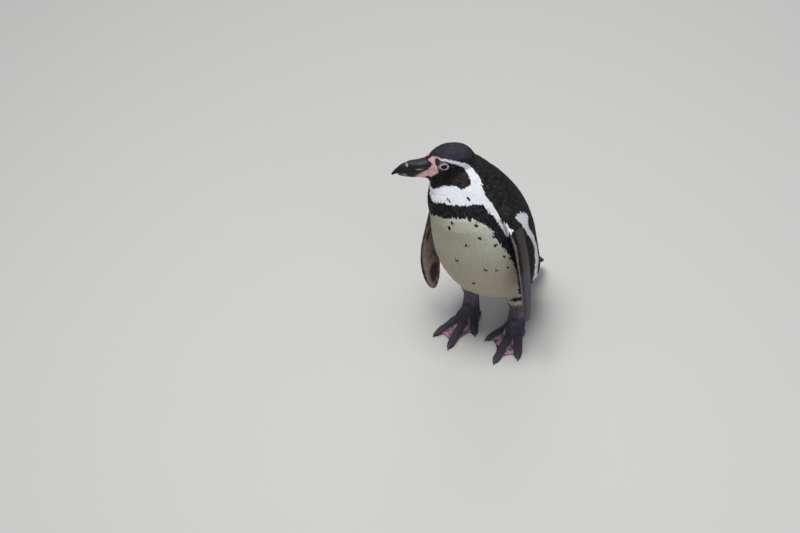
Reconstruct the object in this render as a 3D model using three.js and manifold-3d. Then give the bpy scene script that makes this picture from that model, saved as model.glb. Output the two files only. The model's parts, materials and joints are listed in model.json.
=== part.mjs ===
// A standing Humboldt penguin at life size, modelled whole and parted with thin cuts.
// Millimetres, +Z up. The bird faces -Y, its left side is +X, and it looks round to its right.
import * as THREE from 'three';
import Module from 'manifold-3d';
import { mergeVertices } from 'three/addons/utils/BufferGeometryUtils.js';

// ---- driving dimensions -------------------------------------------------------------------
const GAP = 0.3; // clear gap at every cut
const FAR = 900; // reach of the cutting blocks

const HEAD_YAW = THREE.MathUtils.degToRad(-48); // head turned to the bird's right
const HEAD_AT = new THREE.Vector3(-52.7, -15.4, 0); // below the point midway between the eyes
const BILL_BASE = 25; // ahead of the eyes, where feathers meet the bill
const EYE_HEIGHT = 387;
const EYE_SPREAD = 21.6; // each eyeball's centre from the head's middle
const EYE_RADIUS = 7.2;

const FLIPPER_CHORD = 60;
const FLIPPER_THICK = 14;
const SHOULDER_CUT = 0.24; // part of the flipper's path that stays with the trunk

const ANKLE_TOP = 48; // where leg feathers end
const TOE_MIDDLE = 112; // heel to the root of the claw
const TOE_OUTER = 95;
const TOE_INNER = 69;
const TOE_WIDE = 20;
const TOE_HIGH = 11;
const TOE_ROOT = 12; // ahead of the heel, where each front toe starts
const HIND_TOE = 20;
const HIND_TURN = 2.4; // the hind toe's angle in inner toe angles
const WEB_THICK = 3.2;
const WEB_LIFT = 0.9;
const WEB_REACH = 0.93; // part of each toe that the web runs along
const WEB_HOLLOW = 0.8; // part of the shorter toe that the web's middle reaches
const CLAW_LENGTH = 9.3;
const CLAW_WIDE = 6;
const CLAW_SUNK = 3; // depth of a claw's root in its toe
const HIND_CLAW_LENGTH = 7;
const HIND_CLAW_WIDE = 3.4;
const CLAW_HEIGHT = 4.6; // of a claw's root above the floor
const CLAW_DROP = 3.4; // from root to tip

// Trunk and neck: spine point, then half width, depth to the front and depth to the back,
// and how far the section is turned towards the bird's left, in degrees.
const BODY_STATIONS = [
  { at: [0, 145, 74], size: [20, 13, 12], turn: 0 },
  { at: [0, 130, 82], size: [42, 29, 24], turn: 0 },
  { at: [0, 109, 95], size: [62, 48, 43], turn: 0 },
  { at: [0, 83, 112], size: [77, 65, 61], turn: 0 },
  { at: [0, 58, 138], size: [87, 77, 77], turn: -1 },
  { at: [0, 38, 170], size: [91, 84, 89], turn: -3 },
  { at: [0, 25, 206], size: [92, 86, 94], turn: -5 },
  { at: [-1, 17, 242], size: [90, 83, 91], turn: -9 },
  { at: [-4, 11, 274], size: [84, 79, 85], turn: -14 },
  { at: [-9, 6, 302], size: [76, 79, 74], turn: -19 },
  { at: [-17, 1, 326], size: [64, 73, 63], turn: -26 },
  { at: [-26, -2, 346], size: [49, 60, 54], turn: -35 },
  { at: [-33, -4, 364], size: [33, 42, 45], turn: -44 },
  { at: [-38, -5, 380], size: [16, 16, 22], turn: -48 },
];

// Head: distance behind the eyes and axis height, then height above, half width and depth below.
const HEAD_STATIONS = [
  { at: [0, 60, 374], size: [10, 9, 10] },
  { at: [0, 52, 374], size: [23, 20, 24] },
  { at: [0, 40, 374], size: [32, 28, 33] },
  { at: [0, 22, 374], size: [37, 31, 36] },
  { at: [0, 5, 374], size: [37, 30.5, 36] },
  { at: [0, -9, 373], size: [32, 26.5, 33] },
  { at: [0, -19, 371], size: [25.5, 21.5, 29.5] },
  { at: [0, -31, 369], size: [20, 15.5, 22] },
];

// Bill: distance ahead of the eyes, ridge height, mouth line height, lower edge and half width.
const BILL_STATIONS = [
  { ahead: 20, ridge: 393.5, mouth: 377, under: 349.5, half: 15 },
  { ahead: 29, ridge: 391.3, mouth: 377, under: 351, half: 14.2 },
  { ahead: 42, ridge: 390.2, mouth: 376.8, under: 356, half: 12.6 },
  { ahead: 56, ridge: 388.6, mouth: 376, under: 360, half: 10.8 },
  { ahead: 69, ridge: 385, mouth: 374.6, under: 363.8, half: 8.5 },
  { ahead: 79, ridge: 380, mouth: 372.8, under: 367, half: 6 },
  { ahead: 85, ridge: 375, mouth: 370.6, under: 368.6, half: 3.8 },
];
const HOOK_RING = { ahead: 88.7, under: 367.4, ridge: 372, half: 1.6 };
const LOWER_BILL_TIP = 81; // ahead of the eyes, just behind the hook
const LOWER_BILL_TAPER = 20; // length over which the lower bill narrows to its tip
const LOWER_BILL_WIDE = 0.93; // of the upper bill's width
const LOWER_BILL_LEAST = 1.2; // its depth at the tip
const UPPER_BILL_BEND = 1.1; // over 1 sharpens the ridge of the section
const LOWER_BILL_BEND = 0.8; // under 1 squares it

// ---- solids -------------------------------------------------------------------------------
const wasm = await Module();
wasm.setup();

// A closed skin over rings of points, with a fan on each end.
function skinOver(rings) {
  const sides = rings[0].length;
  const points = rings.flat();
  const index = [];
  for (let r = 0; r + 1 < rings.length; r += 1) {
    for (let s = 0; s < sides; s += 1) {
      const a = r * sides + s;
      const b = r * sides + ((s + 1) % sides);
      const crossing = points[a].distanceTo(points[b + sides]);
      if (crossing < points[b].distanceTo(points[a + sides])) {
        index.push(a, b, b + sides, a, b + sides, a + sides);
      } else {
        index.push(a, b, a + sides, b, b + sides, a + sides);
      }
    }
  }
  for (const [ring, first] of [[rings[0], 0], [rings.at(-1), (rings.length - 1) * sides]]) {
    const middle = ring.reduce((sum, p) => sum.add(p), new THREE.Vector3()).divideScalar(sides);
    const hub = points.push(middle) - 1;
    for (let s = 0; s < sides; s += 1) {
      const a = first + s;
      const b = first + ((s + 1) % sides);
      index.push(...(first === 0 ? [b, a, hub] : [a, b, hub]));
    }
  }
  const geometry = new THREE.BufferGeometry().setFromPoints(points);
  geometry.setIndex(index);
  return facingOut(geometry);
}

// Six times a closed mesh's volume, below zero where its faces look inwards.
function volumeOf(geometry) {
  const p = geometry.attributes.position;
  const corner = [new THREE.Vector3(), new THREE.Vector3(), new THREE.Vector3()];
  let sum = 0;
  for (let i = 0; i < geometry.index.count; i += 3) {
    corner.forEach((c, k) => c.fromBufferAttribute(p, geometry.index.getX(i + k)));
    sum += corner[0].dot(corner[1].clone().cross(corner[2]));
  }
  return sum;
}

function facingOut(geometry) {
  if (volumeOf(geometry) < 0) {
    const index = Array.from(geometry.index.array);
    for (let i = 0; i < index.length; i += 3) {
      [index[i], index[i + 1]] = [index[i + 1], index[i]];
    }
    geometry.setIndex(index);
  }
  return geometry;
}

function solid(geometry) {
  const bare = geometry.clone();
  bare.deleteAttribute('normal');
  bare.deleteAttribute('uv');
  const merged = mergeVertices(bare, 1e-3);
  return new wasm.Manifold(new wasm.Mesh({
    numProp: 3,
    vertProperties: Float32Array.from(merged.attributes.position.array),
    triVerts: Uint32Array.from(merged.index.array),
  }));
}

function geometryOf(body) {
  const mesh = body.getMesh();
  const geometry = new THREE.BufferGeometry();
  geometry.setAttribute('position', new THREE.BufferAttribute(Float32Array.from(mesh.vertProperties), 3));
  geometry.setIndex(Array.from(mesh.triVerts));
  return geometry;
}

// A block that fills all space beyond a plane, on the side that the direction points to.
function beyond(point, direction) {
  const block = new THREE.BoxGeometry(FAR, FAR, FAR);
  const turn = new THREE.Quaternion().setFromUnitVectors(
    new THREE.Vector3(0, 0, 1),
    direction.clone().normalize(),
  );
  const middle = point.clone().addScaledVector(direction.clone().normalize(), FAR / 2);
  block.applyMatrix4(new THREE.Matrix4().compose(middle, turn, new THREE.Vector3(1, 1, 1)));
  return solid(block);
}

// Both sides of a cut, each half a gap back from its plane.
function cutApart(body, point, direction) {
  const ahead = direction.clone().normalize();
  const behind = ahead.clone().negate();
  const near = point.clone().addScaledVector(ahead, -GAP / 2);
  const away = point.clone().addScaledVector(ahead, GAP / 2);
  return [body.intersect(beyond(near, behind)), body.intersect(beyond(away, ahead))];
}

function curveThrough(points) {
  return new THREE.CatmullRomCurve3(points.map((p) => new THREE.Vector3(...p)), false, 'catmullrom');
}

function smoothed(stations, steps) {
  const path = curveThrough(stations.map((s) => s.at));
  const sizes = curveThrough(stations.map((s) => s.size));
  const turns = curveThrough(stations.map((s) => [s.turn ?? 0, 0, 0]));
  return Array.from({ length: steps + 1 }, (_, i) => ({
    at: path.getPoint(i / steps),
    along: path.getTangent(i / steps),
    size: sizes.getPoint(i / steps),
    turn: THREE.MathUtils.degToRad(turns.getPoint(i / steps).x),
  }));
}

// ---- trunk and neck -----------------------------------------------------------------------
const BODY_SIDES = 32;
const BODY_STEPS = 22;

function bodyLoft(grow = 0) {
  const rings = smoothed(BODY_STATIONS, BODY_STEPS).map(({ at, along, size, turn: swing }) => {
    const across = new THREE.Vector3(Math.cos(swing), Math.sin(swing), 0);
    const back = across.clone().cross(along).normalize().negate();
    return Array.from({ length: BODY_SIDES }, (_, k) => {
      const turn = (k / BODY_SIDES) * 2 * Math.PI;
      const depth = Math.sin(turn) > 0 ? size.z : size.y;
      return at.clone()
        .addScaledVector(across, (size.x + grow) * Math.cos(turn))
        .addScaledVector(back, (depth + grow) * Math.sin(turn));
    });
  });
  return solid(skinOver(rings));
}

// ---- head ---------------------------------------------------------------------------------
const HEAD_SIDES = 24;
const HEAD_STEPS = 12;
const headPlace = new THREE.Matrix4().makeRotationZ(HEAD_YAW).setPosition(HEAD_AT);

function headLoft() {
  const rings = smoothed(HEAD_STATIONS, HEAD_STEPS).map(({ at, size }) =>
    Array.from({ length: HEAD_SIDES }, (_, k) => {
      const turn = (k / HEAD_SIDES) * 2 * Math.PI;
      const rise = Math.sin(turn) > 0 ? size.x : size.z;
      return at.clone().add(new THREE.Vector3(size.y * Math.cos(turn), 0, rise * Math.sin(turn)));
    }));
  return solid(skinOver(rings).applyMatrix4(headPlace));
}

function eyeball(side, radius) {
  const ball = new THREE.SphereGeometry(radius, 14, 8);
  ball.translate(side * EYE_SPREAD, 0, EYE_HEIGHT);
  return solid(ball.applyMatrix4(headPlace));
}

// ---- bill ---------------------------------------------------------------------------------
const BILL_ARC = 8; // steps round each half of the bill

const BILL_STEPS = 10;

// A section of one half of the bill: flat along the mouth, arched from there to the edge.
function billRing(ahead, mouth, edge, half, bend) {
  const arch = Array.from({ length: BILL_ARC + 1 }, (_, k) => {
    const turn = (k / BILL_ARC) * Math.PI;
    const height = mouth + (edge - mouth) * Math.sin(turn) ** bend;
    return new THREE.Vector3(half * Math.cos(turn), -ahead, height);
  });
  const flat = [-0.5, 0, 0.5].map((part) => new THREE.Vector3(half * part, -ahead, mouth));
  return [...arch, ...flat];
}

function billLine(key) {
  const line = curveThrough(BILL_STATIONS.map((s) => [s.ahead, s[key], 0]));
  return Array.from({ length: BILL_STEPS + 1 }, (_, i) => line.getPoint(i / BILL_STEPS));
}

function upperBill() {
  const [mouth, ridge, half] = ['mouth', 'ridge', 'half'].map(billLine);
  const rings = mouth.map((m, i) =>
    billRing(m.x, m.y + GAP / 2, ridge[i].y, half[i].y, UPPER_BILL_BEND));
  const { ahead: reach, under, ridge: top, half: narrow } = HOOK_RING;
  rings.push(billRing(reach, under, top, narrow, UPPER_BILL_BEND));
  return solid(skinOver(rings).applyMatrix4(headPlace));
}

function lowerBill() {
  const [mouth, under, half] = ['mouth', 'under', 'half'].map(billLine);
  const rings = mouth.flatMap((m, i) => {
    const left = (LOWER_BILL_TIP + 1 - m.x) / LOWER_BILL_TAPER;
    const wide = LOWER_BILL_WIDE * Math.sqrt(THREE.MathUtils.clamp(left, 0.05, 1));
    const edge = Math.min(under[i].y, m.y - LOWER_BILL_LEAST);
    const ring = billRing(m.x, m.y - GAP / 2, edge, half[i].y * wide, LOWER_BILL_BEND);
    return m.x > LOWER_BILL_TIP ? [] : [ring];
  });
  return solid(skinOver(rings).applyMatrix4(headPlace));
}

// ---- tail ---------------------------------------------------------------------------------
const TAIL_STATIONS = [
  { at: [0, 112, 100], size: [40, 18, 0] },
  { at: [0, 136, 82], size: [37, 14, 0] },
  { at: [0, 160, 63], size: [33, 10.5, 0] },
  { at: [0, 182, 46], size: [27, 7.5, 0] },
  { at: [0, 198, 33], size: [20, 5.5, 0] },
  { at: [0, 206, 26.5], size: [12, 4, 0] },
  { at: [0, 209, 24], size: [5, 2, 0] },
];

function tailLoft() {
  const sides = 16;
  const steps = 10;
  const rings = smoothed(TAIL_STATIONS, steps).map(({ at, along, size }) => {
    const across = new THREE.Vector3(1, 0, 0);
    const rise = across.clone().cross(along).normalize();
    return Array.from({ length: sides }, (_, k) => {
      const turn = (k / sides) * 2 * Math.PI;
      return at.clone()
        .addScaledVector(across, size.x * Math.cos(turn))
        .addScaledVector(rise, size.y * Math.sin(turn));
    });
  });
  return solid(skinOver(rings));
}

// ---- flippers -----------------------------------------------------------------------------
// Along the blade: leading edge and trailing edge in chords from its path, part of its thickness.
const FLIPPER_STATIONS = [
  { at: [0, 0, 0], size: [0.3, 0.3, 1.9] },
  { at: [0, 0, 0.12], size: [0.36, 0.36, 1.8] },
  { at: [0, 0, 0.22], size: [0.41, 0.38, 1.35] },
  { at: [0, 0, 0.35], size: [0.48, 0.42, 0.96] },
  { at: [0, 0, 0.5], size: [0.54, 0.45, 0.82] },
  { at: [0, 0, 0.65], size: [0.54, 0.46, 0.72] },
  { at: [0, 0, 0.8], size: [0.45, 0.45, 0.6] },
  { at: [0, 0, 0.91], size: [0.3, 0.4, 0.5] },
  { at: [0, 0, 0.97], size: [0.14, 0.31, 0.42] },
  { at: [0, 0, 1.0], size: [-0.02, 0.18, 0.3] },
];

// Each flipper's path starts inside the shoulder; trail points from leading to trailing edge.
const FLIPPERS = {
  left: {
    path: [
      [30, 8, 308],
      [64, 0, 298],
      [88, -7, 268],
      [101, -11, 214],
      [107, -14, 148],
      [108, -17, 80],
    ],
    trail: [-0.26, 0.96, 0],
  },
  right: {
    path: [
      [-38, 20, 308],
      [-70, 32, 294],
      [-90, 38, 258],
      [-99, 29, 202],
      [-103, 10, 144],
      [-100, 4, 62],
    ],
    trail: [0.13, 0.99, 0],
  },
};

function flipperPath({ path }) {
  return new THREE.CatmullRomCurve3(path.map((p) => new THREE.Vector3(...p)));
}

function flipperLoft(flipper) {
  const sides = 16;
  const steps = 18;
  const path = flipperPath(flipper);
  const rings = smoothed(FLIPPER_STATIONS, steps).map(({ at, size }) => {
    const reach = THREE.MathUtils.clamp(at.z, 0, 1);
    const down = path.getTangentAt(reach);
    const flat = down.clone().cross(new THREE.Vector3(...flipper.trail)).normalize();
    const rear = flat.clone().cross(down).normalize();
    const half = (size.x + size.y) / 2;
    const shift = (size.y - size.x) / 2;
    return Array.from({ length: sides }, (_, k) => {
      const turn = (k / sides) * 2 * Math.PI;
      return path.getPointAt(reach)
        .addScaledVector(rear, FLIPPER_CHORD * (shift + half * Math.cos(turn)))
        .addScaledVector(flat, (FLIPPER_THICK / 2) * size.z * Math.sin(turn));
    });
  });
  return solid(skinOver(rings));
}

// ---- legs and feet ------------------------------------------------------------------------
function tubeThrough(stations, sides, steps) {
  const rings = smoothed(stations, steps).map(({ at, size }) =>
    Array.from({ length: sides }, (_, k) => {
      const turn = (k / sides) * 2 * Math.PI;
      return at.clone().add(new THREE.Vector3(size.x * Math.cos(turn), size.y * Math.sin(turn), 0));
    }));
  return solid(skinOver(rings));
}

// Each leg: where its heel stands, how far the foot swings to the bird's left, and toe angles.
const LEGS = {
  left: { side: 1, heel: [48, 50], swing: 7.8, outer: 21.5, inner: 31.8 },
  right: { side: -1, heel: [-45, 47], swing: 8, outer: 23, inner: 25.5 },
};

function legLoft({ side, heel: [x, y] }) {
  return tubeThrough([
    { at: [x - side * 4, y - 4, 124], size: [32, 34, 0] },
    { at: [x - side * 2, y - 2, 90], size: [25, 27, 0] },
    { at: [x, y, 66], size: [18.5, 18.5, 0] },
    { at: [x, y, 44], size: [15.5, 14, 0] },
  ], 18, 7);
}

const TOE_SIDES = 8;

function headingTo(angle) {
  return new THREE.Vector3(Math.sin(angle), -Math.cos(angle), 0);
}

function asideOf(angle) {
  return new THREE.Vector3(Math.cos(angle), Math.sin(angle), 0);
}

// One toe lies along its own line from the heel, flat underneath.
function toe(length, root, angle) {
  const heading = headingTo(angle);
  const aside = asideOf(angle);
  const steps = 7;
  const rings = [];
  for (let i = 0; i <= steps; i += 1) {
    const t = i / steps;
    const end = Math.sqrt(Math.max(0, 1 - Math.max(0, (t - 0.9) / 0.13) ** 2));
    const half = (TOE_WIDE / 2) * (1 - 0.3 * t) * end;
    const high = TOE_HIGH * (1.25 - 0.6 * t) * (0.35 + 0.65 * end);
    rings.push(Array.from({ length: TOE_SIDES }, (_, k) => {
      const turn = (k / TOE_SIDES) * 2 * Math.PI;
      const rise = Math.max(0, high * (0.36 + 0.64 * Math.sin(turn)));
      return heading.clone().multiplyScalar(root + (length - root) * t)
        .addScaledVector(aside, half * Math.cos(turn))
        .setZ(rise);
    }));
  }
  return solid(skinOver(rings));
}

// A web reaches from the ankle to a hollow curve between two toe tips.
function web(lengthA, angleA, lengthB, angleB) {
  const from = headingTo(angleA).multiplyScalar(lengthA * WEB_REACH);
  const to = headingTo(angleB).multiplyScalar(lengthB * WEB_REACH);
  const shorter = Math.min(lengthA, lengthB);
  const hollow = headingTo((angleA + angleB) / 2).multiplyScalar(shorter * WEB_HOLLOW);
  const shape = new THREE.Shape();
  shape.moveTo(0, -10);
  shape.lineTo(from.x, from.y);
  shape.quadraticCurveTo(hollow.x, hollow.y, to.x, to.y);
  shape.lineTo(0, -10);
  const extent = { depth: WEB_THICK, bevelEnabled: false, curveSegments: 6 };
  return solid(new THREE.ExtrudeGeometry(shape, extent).translate(0, 0, WEB_LIFT));
}

// A tapering claw, or the socket for it when grown by a gap.
function claw({ toe: toeLength, angle, length, wide }, grow = 0) {
  const sides = 6;
  const steps = 4;
  const root = toeLength - CLAW_SUNK - grow;
  const rings = [];
  for (let i = 0; i <= steps; i += 1) {
    const t = i / steps;
    const half = (wide / 2) * (1 - t) ** 0.7 + 0.5 + grow;
    const height = CLAW_HEIGHT - CLAW_DROP * t ** 1.6;
    rings.push(Array.from({ length: sides }, (_, k) => {
      const turn = (k / sides) * 2 * Math.PI;
      return headingTo(angle).multiplyScalar(root + (length + 2 * grow) * t)
        .addScaledVector(asideOf(angle), half * Math.cos(turn))
        .setZ(height + half * 0.9 * Math.sin(turn));
    }));
  }
  return solid(skinOver(rings));
}

function footParts({ side, outer: outerTurn, inner: innerTurn }) {
  const outer = side * THREE.MathUtils.degToRad(outerTurn);
  const inner = -side * THREE.MathUtils.degToRad(innerTurn);
  const tarsus = tubeThrough([
    { at: [0, -10, 0], size: [15, 17, 0] },
    { at: [0, -9, 10], size: [17, 17, 0] },
    { at: [0, -5, 24], size: [15.5, 14, 0] },
    { at: [0, -1, 40], size: [14, 11.5, 0] },
    { at: [0, 0, 60], size: [15, 12, 0] },
  ], 14, 6);
  const instep = tubeThrough([
    { at: [0, -24, 0], size: [23, 22, 0] },
    { at: [0, -24, 9], size: [21, 20, 0] },
    { at: [0, -20, 19], size: [14, 14, 0] },
    { at: [0, -14, 28], size: [9, 9, 0] },
  ], 12, 4);
  const hind = inner * HIND_TURN;
  const flesh = [
    instep,
    toe(TOE_MIDDLE, TOE_ROOT, 0),
    toe(TOE_OUTER, TOE_ROOT, outer),
    toe(TOE_INNER, TOE_ROOT, inner),
    toe(HIND_TOE, 0, hind),
    web(TOE_OUTER, outer, TOE_MIDDLE, 0),
    web(TOE_MIDDLE, 0, TOE_INNER, inner),
  ].reduce((all, piece) => all.add(piece), tarsus);
  const claws = {
    middle: { toe: TOE_MIDDLE, angle: 0, length: CLAW_LENGTH, wide: CLAW_WIDE },
    outer: { toe: TOE_OUTER, angle: outer, length: CLAW_LENGTH, wide: CLAW_WIDE },
    inner: { toe: TOE_INNER, angle: inner, length: CLAW_LENGTH, wide: CLAW_WIDE },
    hind: { toe: HIND_TOE, angle: hind, length: HIND_CLAW_LENGTH, wide: HIND_CLAW_WIDE },
  };
  return { flesh, claws };
}

// ---- the whole bird, parted ---------------------------------------------------------------
const FINISHES = {
  black_feathers: new THREE.MeshStandardMaterial({ color: 0x26252b, roughness: 0.75, metalness: 0 }),
  white_feathers: new THREE.MeshStandardMaterial({ color: 0xe6e2d6, roughness: 0.8, metalness: 0 }),
  flipper_feathers: new THREE.MeshStandardMaterial({ color: 0x4a4446, roughness: 0.7, metalness: 0 }),
  bill_horn: new THREE.MeshStandardMaterial({ color: 0x2b2a2c, roughness: 0.4, metalness: 0 }),
  foot_skin: new THREE.MeshStandardMaterial({ color: 0x4d4550, roughness: 0.6, metalness: 0 }),
  claw_horn: new THREE.MeshStandardMaterial({ color: 0x1d1b1c, roughness: 0.4, metalness: 0 }),
  eye_gloss: new THREE.MeshStandardMaterial({ color: 0x3a1c12, roughness: 0.08, metalness: 0 }),
};

const bird = new THREE.Group();

function addNode(name, body, finish) {
  const mesh = new THREE.Mesh(geometryOf(body), FINISHES[finish]);
  mesh.name = name;
  bird.add(mesh);
}

const ahead = new THREE.Vector3(Math.sin(HEAD_YAW), -Math.cos(HEAD_YAW), 0);
const up = new THREE.Vector3(0, 0, 1);
const billRoot = HEAD_AT.clone().addScaledVector(ahead, BILL_BASE).setZ(EYE_HEIGHT);

const sockets = eyeball(1, EYE_RADIUS + GAP).add(eyeball(-1, EYE_RADIUS + GAP));
const [faceless] = cutApart(headLoft(), billRoot, ahead);
const blades = {};
let flesh = bodyLoft().add(faceless).add(tailLoft());
const grownBody = bodyLoft(GAP);
for (const [name, flipper] of Object.entries(FLIPPERS)) {
  const path = flipperPath(flipper);
  const place = path.getPointAt(SHOULDER_CUT);
  const [shoulder, blade] = cutApart(flipperLoft(flipper), place, path.getTangentAt(SHOULDER_CUT));
  flesh = flesh.add(shoulder);
  blades[name] = blade.subtract(grownBody);
}

const CUTS = {
  head: { at: new THREE.Vector3(-40, -8, 345), way: new THREE.Vector3(-0.25, -0.22, 1) },
  neck: { at: new THREE.Vector3(-8, 4, 300), way: new THREE.Vector3(-0.1, -0.1, 1) },
  tail: { at: new THREE.Vector3(0, 131, 84), way: new THREE.Vector3(0, 0.8, -0.6) },
};
const [belowHead, head] = cutApart(flesh, CUTS.head.at, CUTS.head.way);
const [lower, neck] = cutApart(belowHead, CUTS.neck.at, CUTS.neck.way);
const [trunk, tail] = cutApart(lower, CUTS.tail.at, CUTS.tail.way);

addNode('head', head.subtract(sockets), 'black_feathers');
addNode('neck', neck, 'white_feathers');
addNode('trunk', trunk, 'white_feathers');
addNode('tail', tail, 'black_feathers');
addNode('flipper_left', blades.left, 'flipper_feathers');
addNode('flipper_right', blades.right, 'flipper_feathers');
addNode('eye_left', eyeball(1, EYE_RADIUS), 'eye_gloss');
addNode('eye_right', eyeball(-1, EYE_RADIUS), 'eye_gloss');

const pastFace = beyond(billRoot.clone().addScaledVector(ahead, GAP / 2), ahead);
addNode('bill_upper', upperBill().intersect(pastFace), 'bill_horn');
addNode('bill_lower', lowerBill().intersect(pastFace), 'bill_horn');

for (const [name, leg] of Object.entries(LEGS)) {
  const ankle = new THREE.Vector3(0, 0, ANKLE_TOP);
  addNode(`leg_${name}`, cutApart(legLoft(leg).subtract(grownBody), ankle, up)[1], 'white_feathers');
  const place = new THREE.Matrix4().makeRotationZ(THREE.MathUtils.degToRad(leg.swing))
    .setPosition(leg.heel[0], leg.heel[1], 0);
  const { flesh: footFlesh, claws } = footParts(leg);
  for (const [toeName, shape] of Object.entries(claws)) {
    addNode(`claw_${name}_${toeName}`, claw(shape).transform(place.elements), 'claw_horn');
  }
  const sunk = Object.values(claws).map((shape) => claw(shape, 1.2 * GAP));
  const bare = sunk.reduce((foot, socket) => foot.subtract(socket), footFlesh);
  addNode(`foot_${name}`, cutApart(bare.transform(place.elements), ankle, up)[0], 'foot_skin');
}

// The origin goes under the middle of the bird's bounding box.
const box = new THREE.Box3().setFromObject(bird);
const middle = box.getCenter(new THREE.Vector3());
bird.position.set(-middle.x, -middle.y, 0);
bird.updateMatrixWorld(true);

export default bird;
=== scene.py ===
"""Adult Humboldt penguin standing with its head turned: skin, feathers, bill, eyes and claws.

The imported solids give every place. Lengths in the tables are in millimetres, in the bird's own
frame: its origin lies on the floor between the feet, its left is +X and its body faces -Y.
"""
import math

import bpy
import numpy as np
from mathutils import Matrix, Vector
from mathutils.bvhtree import BVHTree
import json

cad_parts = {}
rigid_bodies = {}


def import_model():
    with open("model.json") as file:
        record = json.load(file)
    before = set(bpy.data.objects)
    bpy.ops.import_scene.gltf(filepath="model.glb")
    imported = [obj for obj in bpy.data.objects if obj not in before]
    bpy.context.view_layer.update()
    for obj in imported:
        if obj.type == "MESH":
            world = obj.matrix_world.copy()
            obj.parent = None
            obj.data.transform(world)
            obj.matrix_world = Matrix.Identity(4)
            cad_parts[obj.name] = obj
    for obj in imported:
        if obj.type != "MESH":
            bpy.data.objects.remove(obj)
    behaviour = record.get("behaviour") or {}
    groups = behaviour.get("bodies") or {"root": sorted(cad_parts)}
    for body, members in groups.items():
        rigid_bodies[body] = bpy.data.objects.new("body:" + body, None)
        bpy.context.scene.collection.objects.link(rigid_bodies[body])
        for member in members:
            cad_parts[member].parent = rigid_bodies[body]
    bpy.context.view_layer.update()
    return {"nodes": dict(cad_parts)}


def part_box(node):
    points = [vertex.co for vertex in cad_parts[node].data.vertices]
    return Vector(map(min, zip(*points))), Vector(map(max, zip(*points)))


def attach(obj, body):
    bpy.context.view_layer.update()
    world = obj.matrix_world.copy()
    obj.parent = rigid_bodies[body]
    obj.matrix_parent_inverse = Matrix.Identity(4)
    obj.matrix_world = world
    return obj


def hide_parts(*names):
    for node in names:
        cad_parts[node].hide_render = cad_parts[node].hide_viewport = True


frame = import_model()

rng = np.random.default_rng(11)

MM = 0.001
UP = Vector((0, 0, 1))

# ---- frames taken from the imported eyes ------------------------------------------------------


def middle_of(node):
    low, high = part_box(node)
    return (low + high) / 2


EYES = {"left": middle_of("eye_left"), "right": middle_of("eye_right")}
SIDES = {"left": 1, "right": -1}
HEAD_MIDDLE = (EYES["left"] + EYES["right"]) / 2
TO_LEFT = (EYES["left"] - EYES["right"]).normalized()
AHEAD = TO_LEFT.cross(UP)
left_way = np.array(TO_LEFT)
ahead_way = np.array(AHEAD)
HEAD_OVER_FEET = Vector((-0.0527, -0.0154, 0.387))
ORIGIN = HEAD_MIDDLE - HEAD_OVER_FEET
EYE_RADIUS = (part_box("eye_left")[1].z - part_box("eye_left")[0].z) / 2


def in_bird(points):
    """Points in metres, to millimetres from the floor between the feet."""
    return (points - np.array(ORIGIN)) / MM


def in_head(bird):
    """Millimetres ahead of the eyes, to the left of the head's middle, and above the floor."""
    off = bird - np.array(HEAD_OVER_FEET) / MM
    return off @ ahead_way, off @ left_way, bird[:, 2]


# ---- camera and light -----------------------------------------------------------------------
CAMERA_TURN = math.radians(32)
CAMERA_RISE = math.radians(40)
CAMERA_ROLL = math.radians(3)
CAMERA_FAR = 6.0
CAMERA_LENS = 150
CAMERA_SENSOR = 36
CAMERA_REACH = 50
AIM_RIGHT = -0.1394
AIM_UP = 0.1271

sight_right = Vector((math.cos(CAMERA_TURN), math.sin(CAMERA_TURN), 0))
sight_back = Vector((
    math.sin(CAMERA_TURN) * math.cos(CAMERA_RISE),
    -math.cos(CAMERA_TURN) * math.cos(CAMERA_RISE),
    math.sin(CAMERA_RISE),
))
sight_up = sight_back.cross(sight_right)


def turned_to(back, up):
    """A rotation whose local Z is back and whose local Y is as near up as it can be."""
    side = up.cross(back).normalized()
    return Matrix((side, back.cross(side), back)).transposed().to_4x4()


def camera():
    eye = ORIGIN + sight_back * CAMERA_FAR
    aim = ORIGIN + sight_right * AIM_RIGHT + sight_up * AIM_UP
    top = sight_up * math.cos(CAMERA_ROLL) + sight_right * math.sin(CAMERA_ROLL)
    lens = bpy.data.cameras.new("camera")
    lens.lens = CAMERA_LENS
    lens.sensor_width = CAMERA_SENSOR
    lens.clip_end = CAMERA_REACH
    made = bpy.data.objects.new("camera", lens)
    bpy.context.scene.collection.objects.link(made)
    back = (eye - aim).normalized()
    made.matrix_world = Matrix.Translation(eye) @ turned_to(back, top)
    bpy.context.scene.camera = made


camera()

LIT_HEIGHT = 0.2  # the lights point at the bird's breast
# Each light's name, place in metres from the bird's origin, width, power and tone.
LIGHTS = [
    ("light_over", (0.0, -0.35, 2.9), 1.5, 68, (1.0, 0.98, 0.95)),
    ("light_left", (1.9, -1.5, 1.6), 1.8, 9, (0.95, 0.97, 1.0)),
    ("light_behind", (-1.2, 2.0, 1.8), 1.5, 11, (1.0, 1.0, 1.0)),
]
SKY_TONE = (0.93, 0.96, 1.0, 1)
SKY_STRENGTH = 0.3


def soft_light(name, place, size, power, tone):
    lamp = bpy.data.lights.new(name, "AREA")
    lamp.shape = "DISK"
    lamp.size = size
    lamp.energy = power
    lamp.color = tone
    made = bpy.data.objects.new(name, lamp)
    bpy.context.scene.collection.objects.link(made)
    aim = ORIGIN + UP * LIT_HEIGHT
    place = ORIGIN + Vector(place)
    made.matrix_world = Matrix.Translation(place) @ turned_to((place - aim).normalized(), UP)


for light in LIGHTS:
    soft_light(*light)

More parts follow.
